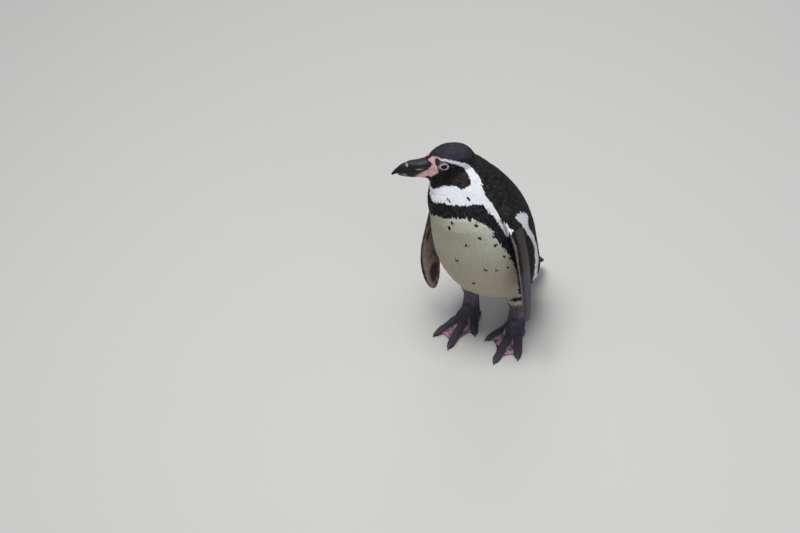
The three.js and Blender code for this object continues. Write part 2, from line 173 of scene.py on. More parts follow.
world = bpy.data.worlds.new("studio")
bpy.context.scene.world = world
world.use_nodes = True
sky = world.node_tree.nodes["Background"]
sky.inputs["Color"].default_value = SKY_TONE
sky.inputs["Strength"].default_value = SKY_STRENGTH
bpy.context.scene.view_settings.view_transform = "Standard"

# ---- small tools ----------------------------------------------------------------------------


def select_only(*objects):
    if bpy.context.object and bpy.context.object.mode != "OBJECT":
        bpy.ops.object.mode_set(mode="OBJECT")
    bpy.ops.object.select_all(action="DESELECT")
    for one in objects:
        one.select_set(True)
    bpy.context.view_layer.objects.active = objects[0]


def apply_all(piece):
    select_only(piece)
    for name in [modifier.name for modifier in piece.modifiers]:
        bpy.ops.object.modifier_apply(modifier=name)


MERGE_GAP = 0.01  # corners nearer than this are one


def merged_copy(node, name):
    """A new piece with a node's shape, its loose triangles merged."""
    piece = frame["nodes"][node].copy()
    piece.data = piece.data.copy()
    piece.name = name
    piece.data.name = name
    piece.parent = None
    for key in list(piece.keys()):
        del piece[key]
    piece.data.materials.clear()
    bpy.context.scene.collection.objects.link(piece)
    select_only(piece)
    bpy.ops.object.mode_set(mode="EDIT")
    bpy.ops.mesh.select_all(action="SELECT")
    bpy.ops.mesh.remove_doubles(threshold=MERGE_GAP * MM)
    bpy.ops.object.mode_set(mode="OBJECT")
    return piece


def places(mesh):
    flat = np.empty(len(mesh.vertices) * 3)
    mesh.vertices.foreach_get("co", flat)
    return flat.reshape(-1, 3)


def set_places(mesh, points):
    mesh.vertices.foreach_set("co", points.ravel())
    mesh.update()


def normals(mesh):
    flat = np.empty(len(mesh.vertices) * 3)
    mesh.vertices.foreach_get("normal", flat)
    return flat.reshape(-1, 3)


def edges_of(mesh):
    """The two vertices of each edge."""
    flat = np.empty(len(mesh.edges) * 2, dtype=np.int64)
    mesh.edges.foreach_get("vertices", flat)
    return flat.reshape(-1, 2)


def corners_of(mesh):
    """The three vertices of each face of a mesh that is all triangles."""
    flat = np.empty(len(mesh.loops), dtype=np.int64)
    mesh.loops.foreach_get("vertex_index", flat)
    return flat.reshape(-1, 3)


def eased(values, edges, rounds):
    """Values at vertices, averaged with their neighbours a number of times."""
    size = len(values)
    count = np.maximum(np.bincount(edges.ravel(), minlength=size), 1)
    for _ in range(rounds):
        total = np.bincount(edges[:, 0], values[edges[:, 1]], size)
        total += np.bincount(edges[:, 1], values[edges[:, 0]], size)
        values = (values + total / count) / 2
    return values


def unit(vectors):
    return vectors / np.maximum(np.linalg.norm(vectors, axis=1, keepdims=True), 1e-9)


def step(low, high, value):
    """0 below low, 1 above high, and smooth between them."""
    share = np.clip((value - low) / (high - low), 0, 1)
    return share * share * (3 - 2 * share)


def hump(off, half):
    """1 where off is 0, falling away smoothly over half on either side."""
    return np.exp(-((off / half) ** 2))


def along(table, at):
    """A table of (place, value) pairs, read at each place."""
    rows = sorted(table)
    return np.interp(at, [row[0] for row in rows], [row[1] for row in rows])


def inside(outline, across, up):
    """Whether each point lies in a closed outline of (across, up) corners."""
    within = np.zeros(len(across), bool)
    for (x1, y1), (x2, y2) in zip(outline, outline[1:] + outline[:1]):
        if y1 == y2:
            continue
        spans = (up < y1) != (up < y2)
        within ^= spans & (across < x1 + (up - y1) * (x2 - x1) / (y2 - y1))
    return within


def filled(outline, across, up, soft=0.5):
    """1 inside a closed outline and 0 outside, easing over soft millimetres each way."""
    spot = np.stack([across, up], 1)
    gap = np.full(len(spot), 1e9)
    for start, end in zip(outline, outline[1:] + outline[:1]):
        run = np.array(end, float) - start
        share = np.clip((spot - start) @ run / (run @ run), 0, 1)
        gap = np.minimum(gap, np.linalg.norm(spot - start - share[:, None] * run, axis=1))
    gap = np.where(inside(outline, across, up), gap, -gap)
    return step(-soft, soft, gap)


WAVES = 7  # waves that make up one field


def rippled(bird, size, seed):
    """A smooth random field from -1 to 1 with lumps about size millimetres across."""
    chance = np.random.default_rng(seed)
    total = np.zeros(len(bird))
    for _ in range(WAVES):
        way = chance.normal(size=3)
        way *= 2 * math.pi / (size * 2.2 * np.linalg.norm(way)) * chance.uniform(0.6, 1.5)
        total += np.sin(bird @ way + chance.uniform(0, 2 * math.pi))
    return total / WAVES * 1.7


def linear(red, green, blue):
    """A chart colour, 0 to 255, as the share of light it gives back."""
    return tuple(((c / 255 + 0.055) / 1.055) ** 2.4 for c in (red, green, blue))


def plain(colour, bird):
    """One colour for every place."""
    return np.tile(colour, (len(bird), 1))


def mixed(base, other, share):
    """Colours row by row, a share of the way from base to other."""
    return base + (np.array(other) - base) * np.asarray(share)[:, None]


def oval(at, size, across, up):
    """0 at an oval's middle and 1 on its edge."""
    return np.hypot((across - at[0]) / size[0], (up - at[1]) / size[1])


def blot(at, size, fade, across, up):
    """1 in an oval patch and 0 outside, easing over a range of shares of its size."""
    return 1 - step(*fade, oval(at, size, across, up))


def cast(piece, grain):
    """A modifier that casts a piece anew in small cells, as one closed surface."""
    cells = piece.modifiers.new("cells", "REMESH")
    cells.mode = "VOXEL"
    cells.voxel_size = grain * MM


def add_smooth(piece, name, rounds, group=""):
    """A smoothing modifier, over one group of vertices or over the whole piece."""
    smoothing = piece.modifiers.new(name, "SMOOTH")
    smoothing.factor = 0.5
    smoothing.iterations = rounds
    smoothing.vertex_group = group


# ---- the bird's plan: spine, markings and limbs ---------------------------------------------
# The middle of the body at each height, and how far it is turned to the bird's right.
SPINE = [
    (74, 0, 142, 0), (82, 0, 129, 0), (95, 0, 108, 0), (112, 0, 82, 0), (138, 0, 58, -1),
    (170, 0, 38, -3), (206, 0, 25, -5), (242, -1, 17, -9), (274, -4, 11, -14),
    (302, -9, 6, -19), (326, -17, 1, -26), (346, -26, -2, -35), (364, -33, -4, -44),
    (380, -38, -5, -48),
]
SPINE_Z = [row[0] for row in SPINE]


def spine_at(height):
    """The spine's x and y and its turn at each height."""
    return [np.interp(height, SPINE_Z, [row[k] for row in SPINE]) for k in (1, 2, 3)]


def round_body(bird):
    """Degrees round the body from its breast, and height."""
    x, y, turn = spine_at(bird[:, 2])
    turn = np.radians(turn)
    dx = bird[:, 0] - x
    dy = bird[:, 1] - y
    left = dx * np.cos(turn) + dy * np.sin(turn)
    front = dx * np.sin(turn) - dy * np.cos(turn)
    return np.degrees(np.arctan2(left, front)), bird[:, 2]


# Edges of the markings as (degrees round, height), with left positive. The two edges that run
# up the sides, BELLY_EDGE and COLLAR_REAR, are (height, degrees round). FLANK and TONGUE are
# closed outlines, the same on both sides.
CHEEK_EDGE = [
    (-130, 380), (-109, 374), (-92, 366), (-76, 352), (-45, 345), (-15, 337), (-4, 338),
    (6, 342), (25, 349), (48, 352), (64, 353), (73, 349), (83, 349), (95, 353), (109, 360),
    (117, 368), (130, 372),
]
BAND_TOP = [
    (-88, 320), (-85, 321), (-70, 332), (-40, 338), (-28, 334), (-20, 324), (-12, 318), (-5, 319),
    (11, 324), (50, 325), (79, 326), (85, 324), (88, 318),
]
BAND_BOTTOM = [(-55, 284), (-25, 287), (-5, 298), (8, 300), (23, 304), (39, 306), (53, 307)]
BELLY_EDGE = [
    (60, 20), (84, 29), (92, 39), (123, 53), (154, 63), (176, 68), (197, 69), (218, 70),
    (246, 67), (276, 67), (289, 67), (296, 63), (301, 58), (308, 50),
]
COLLAR_REAR = [(318, 97), (330, 101), (336, 104), (344, 112), (350, 117), (375, 124)]
FLANK = [
    (103, 292), (101, 281), (106, 258), (105, 244), (107, 228), (108, 209), (106, 187), (98, 160),
    (80, 125), (64, 100), (80, 92), (84, 115), (95, 136), (110, 158), (116, 184), (115, 219),
    (113, 244), (118, 253), (125, 260), (124, 271), (118, 281), (109, 288),
]
TONGUE = [
    (84, 332), (84, 318), (82, 309), (83, 303), (82, 292), (80, 276), (79, 263), (81, 258),
    (85, 266), (87, 293), (90, 302), (92, 308), (95, 318), (101, 332),
]
SPOTS = [
    (29, 331), (72, 335), (20, 295), (12, 284), (48, 304), (52, 294), (48, 270), (26, 252),
    (61, 251), (65, 269), (63, 223), (69, 214), (61, 194), (48, 193), (36, 197), (3, 209),
    (14, 155), (-50, 262), (-60, 226), (-42, 238), (-68, 202),
]
SPOT_RADIUS = 3.0
COLLAR_SPOTS = 320  # the spots above this height are smaller
COLLAR_SPOT_LESS = 0.3
SPOT_RAGGED = 0.15  # the spots' edges are this much less ragged than the other markings'
SPOT_ROUND = [(210, 82), (300, 72), (331, 55)]  # height, and how far the breast is from the spine
# The white line over the eye, down to the collar: ahead, left, height and half its width.
BROW = [
    (11, 12, 399.6, 1.5), (3.5, 18.6, 398.9, 2.3), (-6, 23.1, 396.9, 2.7), (-15.9, 25.7, 393.8, 3.0),
    (-26, 27.4, 389.6, 3.2), (-36, 28.2, 383.6, 4.4), (-43, 28, 374.3, 6.2),
    (-48, 35.6, 367.5, 7.6), (-51, 42, 360.4, 9.3), (-52, 48.3, 353.8, 11),
]
# Bare skin of the face and the line of the mouth, seen from the side: (ahead, height).
FACE_SKIN = [
    (24, 392.2), (19.4, 395.5), (11, 399.7), (13.4, 395.5), (14.1, 390.8), (11.9, 386.8),
    (10.4, 375.9), (23, 363.8), (39.6, 358), (40, 369), (32, 375), (26, 379.8), (22, 383.5),
    (18.2, 388), (21, 390.5),
]
FACE_SPOT = [
    (12.2, 397.7), (7.4, 399.2), (5.7, 396), (8, 392), (10.5, 387.3), (13.1, 388.8), (13.5, 393.1),
]
EYE_SKIN = [
    (5.5, 396), (-2, 394.2), (-7.2, 391.4), (-7.6, 387), (-6, 382), (-1, 379), (6, 379),
    (10.3, 381.8), (11.3, 384.6), (10.5, 387.3), (8, 392), (5.7, 396),
]
GAPE_LINE = [(12.9, 383), (25.7, 378.8), (34.8, 371.7), (46.7, 365.3)]
FACE_INNER = 4.5  # the bare face starts this far from the head's middle
EYE_SKIN_INNER = 12
LID_INNER = 20
RIGHT_FACE_TOP = 394  # the bare face reaches less high on the right
BLUSH_AT_EYE = {"at": (8.2, 386), "size": (2.6, 3.6), "fade": (0.4, 1.2)}

# Where one colour gives way to the next: heights, degrees round, or millimetres ahead.
HEAD_BASE = (352, 368)
HEAD_REAR = (-62, -42)
CROWN_LOW = (388, 398)
CHEEK_TOP = (386, 398)
BREAST_SIDE = (80, 96)
BREAST_LOW = (262, 285)
# the belly's stain and painted shade deepen downwards between these heights
BELLY_STAIN_AND_SHADE_SPAN = (285, 120)
BELLY_TOP = (312, 296)
BELLY_LEFT = (30, 66)
BELLY_SIDE = 76
BROW_FADE = (366, 384)
BROW_FRONT = (-2, 8)
BROW_LOW = 345
WHITE_TOP = 372
CHEEK_LOW = 353
CHEEK_REAR = {"left": -49, "right": -34}

# the crown's slate is painted sky sheen over the black feathers
CROWN_SHEEN = linear(42, 43, 56)
CHEEK = linear(11, 11, 13)
BACK = linear(19, 18, 19)
FEATHER_GREY = linear(84, 80, 86)
BACK_WORN = linear(66, 58, 54)
COLLAR = linear(232, 237, 244)
BROW_GREY = linear(206, 209, 219)
# the belly's colours are white darkened with painted shade; the lower one also holds a warm stain
BELLY_HIGH_SHADED = linear(190, 190, 170)
BELLY_LOW_STAIN_AND_SHADE = linear(184, 172, 155)
PINK = linear(217, 170, 174)
PINK_DEEP = linear(190, 132, 140)
# a lighter pink, painted light for the low face and the lower bill's base, which lie in shade
PINK_LOW_PAINTED_LIGHT = linear(242, 196, 202)
EYE_RING = linear(190, 176, 184)
EYE_DUSK = linear(82, 62, 70)
EYE_BLUSH = linear(176, 136, 140)
DARK_SPOT = linear(24, 15, 19)
GAPE = linear(170, 134, 74)
# the flipper's outside is black; this brown-grey is painted sheen
FLIPPER_TOP_SHEEN = linear(80, 72, 71)
FLIPPER_RIM = linear(28, 26, 29)
FLIPPER_TIP = linear(98, 94, 112)
FLIPPER_PALE = linear(150, 144, 142)
FLIPPER_UNDER = linear(172, 152, 143)
FOOT_SLATE = linear(65, 63, 75)
WEB_PINK = linear(186, 138, 160)
# pale blotches on the webs: partly their own mottling, partly painted highlights
WEB_PALE_AND_GLINT = linear(208, 176, 188)
# the shin's slate, lightened with painted light to make up for the shade under the belly
SHIN_PAINTED_LIGHT = linear(102, 97, 110)


def brow_distance(ahead, left, height):
    """How far outside the brow line's edge each point is, in millimetres, on either side."""
    spot = np.stack([ahead, np.abs(left), height], 1)
    best = np.full(len(spot), 99.0)
    for near, far in zip(BROW, BROW[1:]):
        start = np.array(near[:3])
        run = np.array(far[:3]) - start
        share = np.clip((spot - start) @ run / (run @ run), 0, 1)
        gap = np.linalg.norm(spot - start - share[:, None] * run, axis=1)
        best = np.minimum(best, gap - (near[3] + (far[3] - near[3]) * share))
    return best


def white_on_body(degrees, height):
    """Whether a place is in the collar, the belly, the flank's stripe or the tongue above it."""
    side = np.abs(degrees)
    collar = (height > along(BAND_TOP, degrees)) & (height < along(CHEEK_EDGE, degrees))
    collar &= side < along(COLLAR_REAR, height)
    belly = (height < along(BAND_BOTTOM, degrees)) & (side < along(BELLY_EDGE, height))
    return collar | belly | inside(FLANK, side, height) | inside(TONGUE, side, height)


def spotted(degrees, height):
    """Whether a place is on one of the dark spots of breast and collar."""
    round_mm = along(SPOT_ROUND, height) * math.pi / 180
    near = np.full(len(height), 99.0)
    for turn, up in SPOTS:
        smaller = COLLAR_SPOT_LESS if up > COLLAR_SPOTS else 0.0
        near = np.minimum(near, np.hypot((degrees - turn) * round_mm, height - up) + smaller)
    return near < SPOT_RADIUS


def dark_tints(bird, degrees, height, ahead):
    """The dark feathers: black before, worn brown behind, and a slate of painted sky sheen on the
    crown.
    """
    head_share = step(*HEAD_BASE, bird[:, 2]) * step(*HEAD_REAR, ahead)
    worn = np.clip(rippled(bird, 5, 3) * 0.5 + rippled(bird, 16, 4) * 0.4, 0, 1)
    dark = mixed(plain(BACK, bird), BACK_WORN, worn * 0.3)
    front = (1 - step(*BREAST_SIDE, np.abs(degrees))) * step(*BREAST_LOW, height)
    dark = mixed(dark, CHEEK, front)
    # painted sheen: the crown is a lighter slate than the black below it
    dark = mixed(dark, CROWN_SHEEN, head_share * step(*CROWN_LOW, height))
    return mixed(dark, CHEEK, head_share * (1 - step(*CHEEK_TOP, height)))


def pale_tints(bird, degrees, height):
    """The pale feathers: a white collar, and a creamier belly darkened with painted shade, both
    stained and darker with painted shade low down.
    """
    # darker low down: partly a stain, partly painted shade
    low = step(*BELLY_STAIN_AND_SHADE_SPAN, height)
    pale = mixed(plain(COLLAR, bird), BELLY_HIGH_SHADED, step(*BELLY_TOP, height))
    pale = mixed(pale, BELLY_LOW_STAIN_AND_SHADE, low * 0.8)
    pale = mixed(pale, BELLY_LOW_STAIN_AND_SHADE, np.clip(rippled(bird, 22, 5), 0, 1) * low * 0.4)
    pale = mixed(pale, COLLAR, step(*BELLY_LEFT, degrees) * (1 - low) * 0.25)
    return np.where((np.abs(degrees) > BELLY_SIDE)[:, None], COLLAR, pale)


def body_tints(bird, ragged):
    """Feather colours of head, neck, trunk and tail. ragged moves each point off its place."""
    degrees, height = round_body(bird + ragged)
    ahead, left, _ = in_head(bird + ragged)
    dark = dark_tints(bird, degrees, height, ahead)
    pale = pale_tints(bird, degrees, height)
    white = white_on_body(degrees, height) & (bird[:, 2] < WHITE_TOP)
    cheek_rear = np.where(left > 0, CHEEK_REAR["left"], CHEEK_REAR["right"])
    white &= ~((bird[:, 2] > CHEEK_LOW) & (ahead > cheek_rear))
    brow = (brow_distance(ahead, left, height) < 0) & (bird[:, 2] > BROW_LOW)
    grey = brow * step(*BROW_FADE, height)
    pale = mixed(pale, BROW_GREY, grey)
    pale = mixed(pale, PINK, grey * step(*BROW_FRONT, ahead) * 0.5)
    white |= brow
    spot_at, spot_up = round_body(bird + ragged * SPOT_RAGGED)
    white &= ~spotted(spot_at, spot_up)
    tints = np.where(white[:, None], pale, dark)
    return face_tints(bird, tints, ahead, left, height)


def face_tints(bird, tints, ahead, left, height):
    """Paints the bare skin, the eye's ring and the dark spot over the head's own colours."""
    side = np.abs(left)
    on_side = side > FACE_INNER
    blush = mixed(plain(PINK, bird), PINK_DEEP, np.clip(rippled(bird, 3, 8), 0, 1) * 0.5)
    # painted light: the skin low on the face is lightened
    blush = mixed(blush, PINK_LOW_PAINTED_LIGHT, step(380, 370, height) * 0.8)
    gape = hump(height - along(GAPE_LINE, ahead), 1.1) * step(17, 22, ahead)
    blush = mixed(blush, GAPE, gape * 0.8)
    far_brow = (left < 0) & (height > RIGHT_FACE_TOP)
    tints = mixed(tints, blush, filled(FACE_SKIN, ahead, height) * on_side * ~far_brow)
    dusk = mixed(plain(EYE_DUSK, bird), EYE_BLUSH, blot(**BLUSH_AT_EYE, across=ahead, up=height))
    share = filled(EYE_SKIN, ahead, height, 1.0) * (side > EYE_SKIN_INNER)
    tints = mixed(tints, dusk, share * 0.92)
    tints = mixed(tints, DARK_SPOT, filled(FACE_SPOT, ahead, height, 0.7) * on_side)
    ring = oval((0, eye_height), LID_SIZE, ahead, height)
    lid = step(0.85, 1.0, ring) * (1 - step(1.24, 1.36, ring)) * (side > LID_INNER)
    return mixed(tints, EYE_RING, lid)


def is_bare(bird):
    """Whether each place is bare skin of the face."""
    ahead, left, height = in_head(bird)
    side = np.abs(left)
    face = inside(FACE_SKIN, ahead, height) | inside(FACE_SPOT, ahead, height)
    bare = face & (side > FACE_INNER) & ((left > 0) | (height < RIGHT_FACE_TOP))
    bare |= inside(EYE_SKIN, ahead, height) & (side > EYE_SKIN_INNER)
    return bare | ((oval((0, eye_height), LID_SIZE, ahead, height) < 1.5) & (side > LID_INNER - 2))


eye_height = HEAD_OVER_FEET.z / MM
LID_SIZE = (5.9, 4.8)  # half the opening between the lids
LID_RIM = 0.75  # how far their rim stands out
LID_OVER = 7.95  # the ball of skin that the lids are cut from

# Each flipper's line from shoulder to tip, and the way from its leading to its trailing edge.
FLIPPERS = {
    "left": {
        "path": [
            (30, 8, 308), (64, 0, 298), (88, -7, 268), (101, -11, 214), (107, -14, 148),
            (108, -17, 80),
        ],
        "trail": (-0.26, 0.96, 0),
    },
    "right": {
        "path": [
            (-38, 20, 308), (-70, 32, 294), (-90, 38, 258), (-99, 29, 202), (-103, 10, 144),
            (-100, 4, 62),
        ],
        "trail": (0.13, 0.99, 0),
    },
}
# Half a flipper's width in millimetres at each share of its line: towards its front, and back.
FLIPPER_FRONT = [
    (0, 18), (0.12, 21.6), (0.22, 24.6), (0.35, 28.8), (0.5, 32.4), (0.65, 32.4), (0.8, 27),
    (0.91, 18), (0.97, 8.4), (1, 3),
]
FLIPPER_REAR = [
    (0, 18), (0.12, 21.6), (0.22, 22.8), (0.35, 25.2), (0.5, 27), (0.65, 27.6), (0.8, 27),
    (0.91, 24), (0.97, 18.6), (1, 10.8),
]


def on_flipper(name, bird):
    """Share of the way to the tip, millimetres towards the trailing edge, and the line's way."""
    path = np.array(FLIPPERS[name]["path"], float)
    trail = np.array(FLIPPERS[name]["trail"])
    runs = np.diff(path, axis=0)
    lengths = np.linalg.norm(runs, axis=1)
    before = np.concatenate([[0], np.cumsum(lengths)])
    best = np.full(len(bird), 1e9)
    reach = np.zeros(len(bird))
    back = np.zeros(len(bird))
    way = np.zeros((len(bird), 3))
    for k, run in enumerate(runs):
        share = np.clip((bird - path[k]) @ run / (run @ run), 0, 1)
        off = bird - path[k] - share[:, None] * run
        gap = np.linalg.norm(off, axis=1)
        closer = gap < best
        best = np.where(closer, gap, best)
        reach = np.where(closer, (before[k] + share * lengths[k]) / before[-1], reach)
        back = np.where(closer, off @ trail, back)
        way = np.where(closer[:, None], run / lengths[k], way)
    return reach, back, way


def across_flipper(name, bird):
    """-1 at the front edge of a flipper, 0 on its line and 1 at its rear edge."""
    reach, back, _ = on_flipper(name, bird)
    half = np.where(back < 0, along(FLIPPER_FRONT, reach), along(FLIPPER_REAR, reach))
    return back / np.maximum(half, 3)


# Dark marks on a flipper's inner side, as (share of the way to the tip, place across).
TIP_PATCH = {"at": (0.87, 0.1), "size": (0.09, 0.6), "fade": (0.6, 1.1)}
FRONT_STREAK = {"at": (0.57, -0.66), "size": (0.06, 0.1), "fade": (0.5, 1.1)}


def outer_tints(bird, reach, place, lumps):
    """A flipper's outside: a brown-grey of painted sheen, slate towards the tip, painted shade on the
    rear of its upper part, and a dark and pale front edge.
    """
    beyond = step(0.5, 0.62, reach)
    # painted sheen over the whole outside
    tints = mixed(plain(FLIPPER_TOP_SHEEN, bird), FLIPPER_TIP, beyond * 0.8)
    # painted shade on the rear of the upper flipper, which faces away from the light
    tints = mixed(tints, FLIPPER_RIM, step(0.2, 0.7, place) * (1 - step(0.3, 0.5, reach)))
    tints = mixed(tints, FLIPPER_RIM, step(-0.5, -0.62, place) * (1 - beyond * 0.6))
    tints = mixed(tints, FLIPPER_PALE, step(-0.88, -0.94, place) * 0.8)
    return mixed(tints, FLIPPER_RIM, np.clip(lumps, 0, 1) * 0.25)


def inner_tints(bird, reach, place, lumps):
    """A flipper's inside: mottled, with a dark rim, flecks and a patch near the tip."""
    tints = mixed(plain(FLIPPER_UNDER, bird), FLIPPER_PALE, np.clip(lumps, 0, 1) * 0.35)
    tints = mixed(tints, FLIPPER_RIM, np.clip(-lumps, 0, 1) * 0.6)
    patch = blot(**TIP_PATCH, across=reach, up=place)
    flecks = np.clip(rippled(bird, 3.5, 23) * 1.4, 0, 1)
    flecks = flecks * step(0.55, 0.7, reach) * step(-0.2, 0.3, place)
    patch = np.maximum(patch, flecks)
    streak = blot(**FRONT_STREAK, across=reach, up=place)
    tints = mixed(tints, FLIPPER_RIM, np.maximum(patch, streak) * 0.85)
    return mixed(tints, FLIPPER_RIM, step(0.8, 0.92, np.abs(place)))


def flipper_tints(name, bird, facing, ragged):
    """Outer colours where the surface faces away from the body, inner ones where it faces it."""
    reach, _, _ = on_flipper(name, bird + ragged)
    place = across_flipper(name, bird + ragged)
    outer = step(-0.1, 0.25, facing[:, 0] * SIDES[name])
    lumps = rippled(bird, 6, 21) * 0.6 + rippled(bird, 13, 22) * 0.5
    inner_side = inner_tints(bird, reach, place, lumps)
    return mixed(inner_side, outer_tints(bird, reach, place, lumps), outer)


# Each foot's heel, the turn of its middle toe, and the other toes' angles from that toe.
FEET = {
    "left": {"heel": (48, 50), "swing": 7.8, "outer": 21.5, "inner": 31.8},
    "right": {"heel": (-45, 47), "swing": 8.0, "outer": 23.0, "inner": 25.5},
}
TOES = {"middle": 112, "outer": 95, "inner": 69}  # each one's length from the heel
TOE_ROOT = 12  # where the toes part, from the heel
TOE_HALF = 10  # half a toe's width at its root
TOE_TAPER = 0.3
TOE_END = 1.12  # share of a toe's length at which its claw ends
OFF_TOES = 9.0
KNUCKLES = (0.36, 0.64, 0.9)  # shares of the middle toe's length
KNUCKLE_RISE = 0.8
KNUCKLE_HALF = 4.5
FOLD_EVERY = 3.1
FOLD_RISE = 0.16

# Heights between which one colour of foot and leg gives way to the next.
WEB_TOP = (12, 20)
SHIN_LOW = (14, 30)
SHIN_PATCHES = (20, 30)
SHIN_TOP = (57, 60)
RING_LOW = (68, 72)
RING_TOP = (82, 86)
WEB_START = (14, 24)  # millimetres along the toe
TOE_EDGE = (0.8, 1.15)  # half widths off the toe's line


def toe_turn(name, toe):
    """A toe's turn from straight ahead, in radians."""
    foot = FEET[name]
    side = SIDES[name]
    off = {"middle": 0, "outer": side * foot["outer"], "inner": -side * foot["inner"]}[toe]
    return math.radians(off + foot["swing"])


def on_toes(name, bird):
    """On the nearest toe: millimetres from its root, half widths off its line, and its way."""
    heel = np.array((*FEET[name]["heel"], 0))
    best = np.full(len(bird), OFF_TOES)
    reach = np.zeros(len(bird))
    way = np.zeros((len(bird), 3))
    for toe, length in TOES.items():
        turn = toe_turn(name, toe)
        heading = np.array((math.sin(turn), -math.cos(turn), 0))
        aside = np.array((math.cos(turn), math.sin(turn), 0))
        out = (bird - heel) @ heading
        share = (out - TOE_ROOT) / (length - TOE_ROOT)
        half = TOE_HALF * (1 - TOE_TAPER * np.clip(share, 0, 1))
        off = np.abs((bird - heel) @ aside) / half
        off = np.where(share > TOE_END, OFF_TOES, off)
        closer = off < best
        best = np.where(closer, off, best)
        reach = np.where(closer, share * (length - TOE_ROOT), reach)
        way = np.where(closer[:, None], heading, way)
    return reach, best, way


def foot_tints(name, bird):
    """Slate toes, webs blotched with pink and with pale blotches that are partly painted highlights,
    and a greyer shin, lightened with painted light, with pink patches.
    """
    reach, off, _ = on_toes(name, bird)
    height = bird[:, 2]
    webs = step(*TOE_EDGE, off) * step(*WEB_START, reach) * (1 - step(*WEB_TOP, height))
    lumps = np.clip(rippled(bird, 5, 31) * 0.7 + rippled(bird, 11, 32) * 0.5 + 0.5, 0, 1)
    tints = plain(FOOT_SLATE, bird)
    # painted light: the shin is lighter than the toes
    tints = mixed(tints, SHIN_PAINTED_LIGHT, step(*SHIN_LOW, height) * (0.5 + 0.5 * lumps))
    tints = mixed(tints, WEB_PINK, webs * np.clip(lumps * 1.3, 0, 1) * 0.9)
    # pale blotches, partly the webs' mottling and partly painted highlights
    tints = mixed(tints, WEB_PALE_AND_GLINT, webs * np.clip(rippled(bird, 4, 34) - 0.15, 0, 1) * 0.9)
    patch = np.clip(rippled(bird, 9, 33) - 0.1, 0, 1) * step(*SHIN_PATCHES, height)
    return mixed(tints, WEB_PINK, patch * 0.4)


def leg_tints(bird):
    """Pale thigh feathers in the belly's colour with its painted shade, with a dark ring above the
    bare shin, which is lightened with painted light.
    """
    height = bird[:, 2]
    dark = step(*RING_LOW, height) * (1 - step(*RING_TOP, height))
    # the thigh feathers take the belly's colour with its painted shade
    tints = mixed(plain(BELLY_HIGH_SHADED, bird), BACK, dark)
    # the bare shin, lightened with painted light
    return mixed(tints, SHIN_PAINTED_LIGHT, 1 - step(*SHIN_TOP, height))


# ---- the skin -------------------------------------------------------------------------------
FLESH = [
    "head", "neck", "trunk", "tail", "flipper_left", "flipper_right", "leg_left", "leg_right",
    "foot_left", "foot_right",
]
HEAD, NECK, TRUNK, TAIL, FLIPPER_L, FLIPPER_R, LEG_L, LEG_R, FOOT_L, FOOT_R = range(10)
COAT_DEPTH = np.array([1.5, 2.3, 2.6, 1.3, 0.9, 0.9, 1.5, 1.5, 0.0, 0.0])
FACE_DEPTH = 0.7
BARE_DEPTH = 0.15
LID_ZONE = 1.2  # the skin isn't sunk this near to the ball that the lids are cut from
FACE_START = 6  # millimetres ahead of the eyes
BILL_START = 24
OVERLAP = 0.4  # how far the nodes grow so that they run into one skin
CUFF = 0.55  # and how much more the bill's root grows
CUFF_END = [(360, 33), (372, 30), (384, 27.5), (394, 27.5)]  # height, and how far ahead it ends
GRAIN = 1.25  # size of the cells that the skin is cast in
SMOOTHING = [("plump", (HEAD, NECK, TRUNK, LEG_L, LEG_R), 14), ("fine", range(10), 4)]
THINNED = 0.2
THINNED_BEHIND = -22  # the head's skin is thinned behind this, where feathers hide it
BARE_SHIN = 60  # height at which the leg's feathers end
SOLE = 0.05  # the lowest that skin or feather comes to the floor
SOLE_DEPTH = 0.6  # skin lower than this is laid flat on the floor
CREASE = [(107, 6), (146, 8), (169, 5)]  # the belly's crease: height, degrees round
CREASE_DEPTH = 1.5
CREASE_LOW = (92, 118)
CREASE_TOP = (186, 160)


def grow(piece, amount):
    """Moves every vertex out by an amount in millimetres."""
    set_places(piece.data, places(piece.data) + normals(piece.data) * amount * MM)


def vertex_group(piece, name, which):
    group = piece.vertex_groups.new(name=name)
    group.add(np.nonzero(which)[0].tolist(), 1.0, "REPLACE")


def node_finder():
    """A search tree over all flesh nodes, and the node that each of its faces is part of."""
    points, corners, owners = [], [], []
    for code, node in enumerate(FLESH):
        mesh = frame["nodes"][node].data
        mesh.calc_loop_triangles()
        for triangle in mesh.loop_triangles:
            corners.append([len(points) + v for v in triangle.vertices])
            owners.append(code)
        points += [tuple(vertex.co) for vertex in mesh.vertices]
    return BVHTree.FromPolygons(points, corners), np.array(owners)


def codes_at(points):
    """The place in FLESH of the node nearest to each point."""
    tree, owners = node_finder()
    return owners[[tree.find_nearest(point)[2] for point in points.tolist()]]


def bill_root(node):
    """The bill's root, cut off flat and grown, so that the skin wraps round it."""
    part = merged_copy(node, "flesh_" + node)
    grow(part, OVERLAP + CUFF)
    points = places(part.data)
    ahead, _, height = in_head(in_bird(points))
    over = np.maximum(ahead - along(CUFF_END, height), 0)
    set_places(part.data, points - ahead_way * over[:, None] * MM)
    return part


def cast_skin():
    """All flesh nodes run together into one closed skin."""
    parts = []
    for node in FLESH:
        part = merged_copy(node, "flesh_" + node)
        grow(part, OVERLAP)
        parts.append(part)
    for node in ("bill_upper", "bill_lower"):
        parts.append(bill_root(node))
    for eye in EYES.values():
        bpy.ops.mesh.primitive_uv_sphere_add(
            segments=48, ring_count=24, radius=(LID_OVER + OVERLAP) * MM, location=eye)
        parts.append(bpy.context.object)
    select_only(*parts)
    bpy.ops.object.join()
    skin = bpy.context.object
    skin.name = "skin"
    skin.data.name = "skin"
    cast(skin, GRAIN)
    apply_all(skin)
    keep_outer_shell(skin)
    return skin


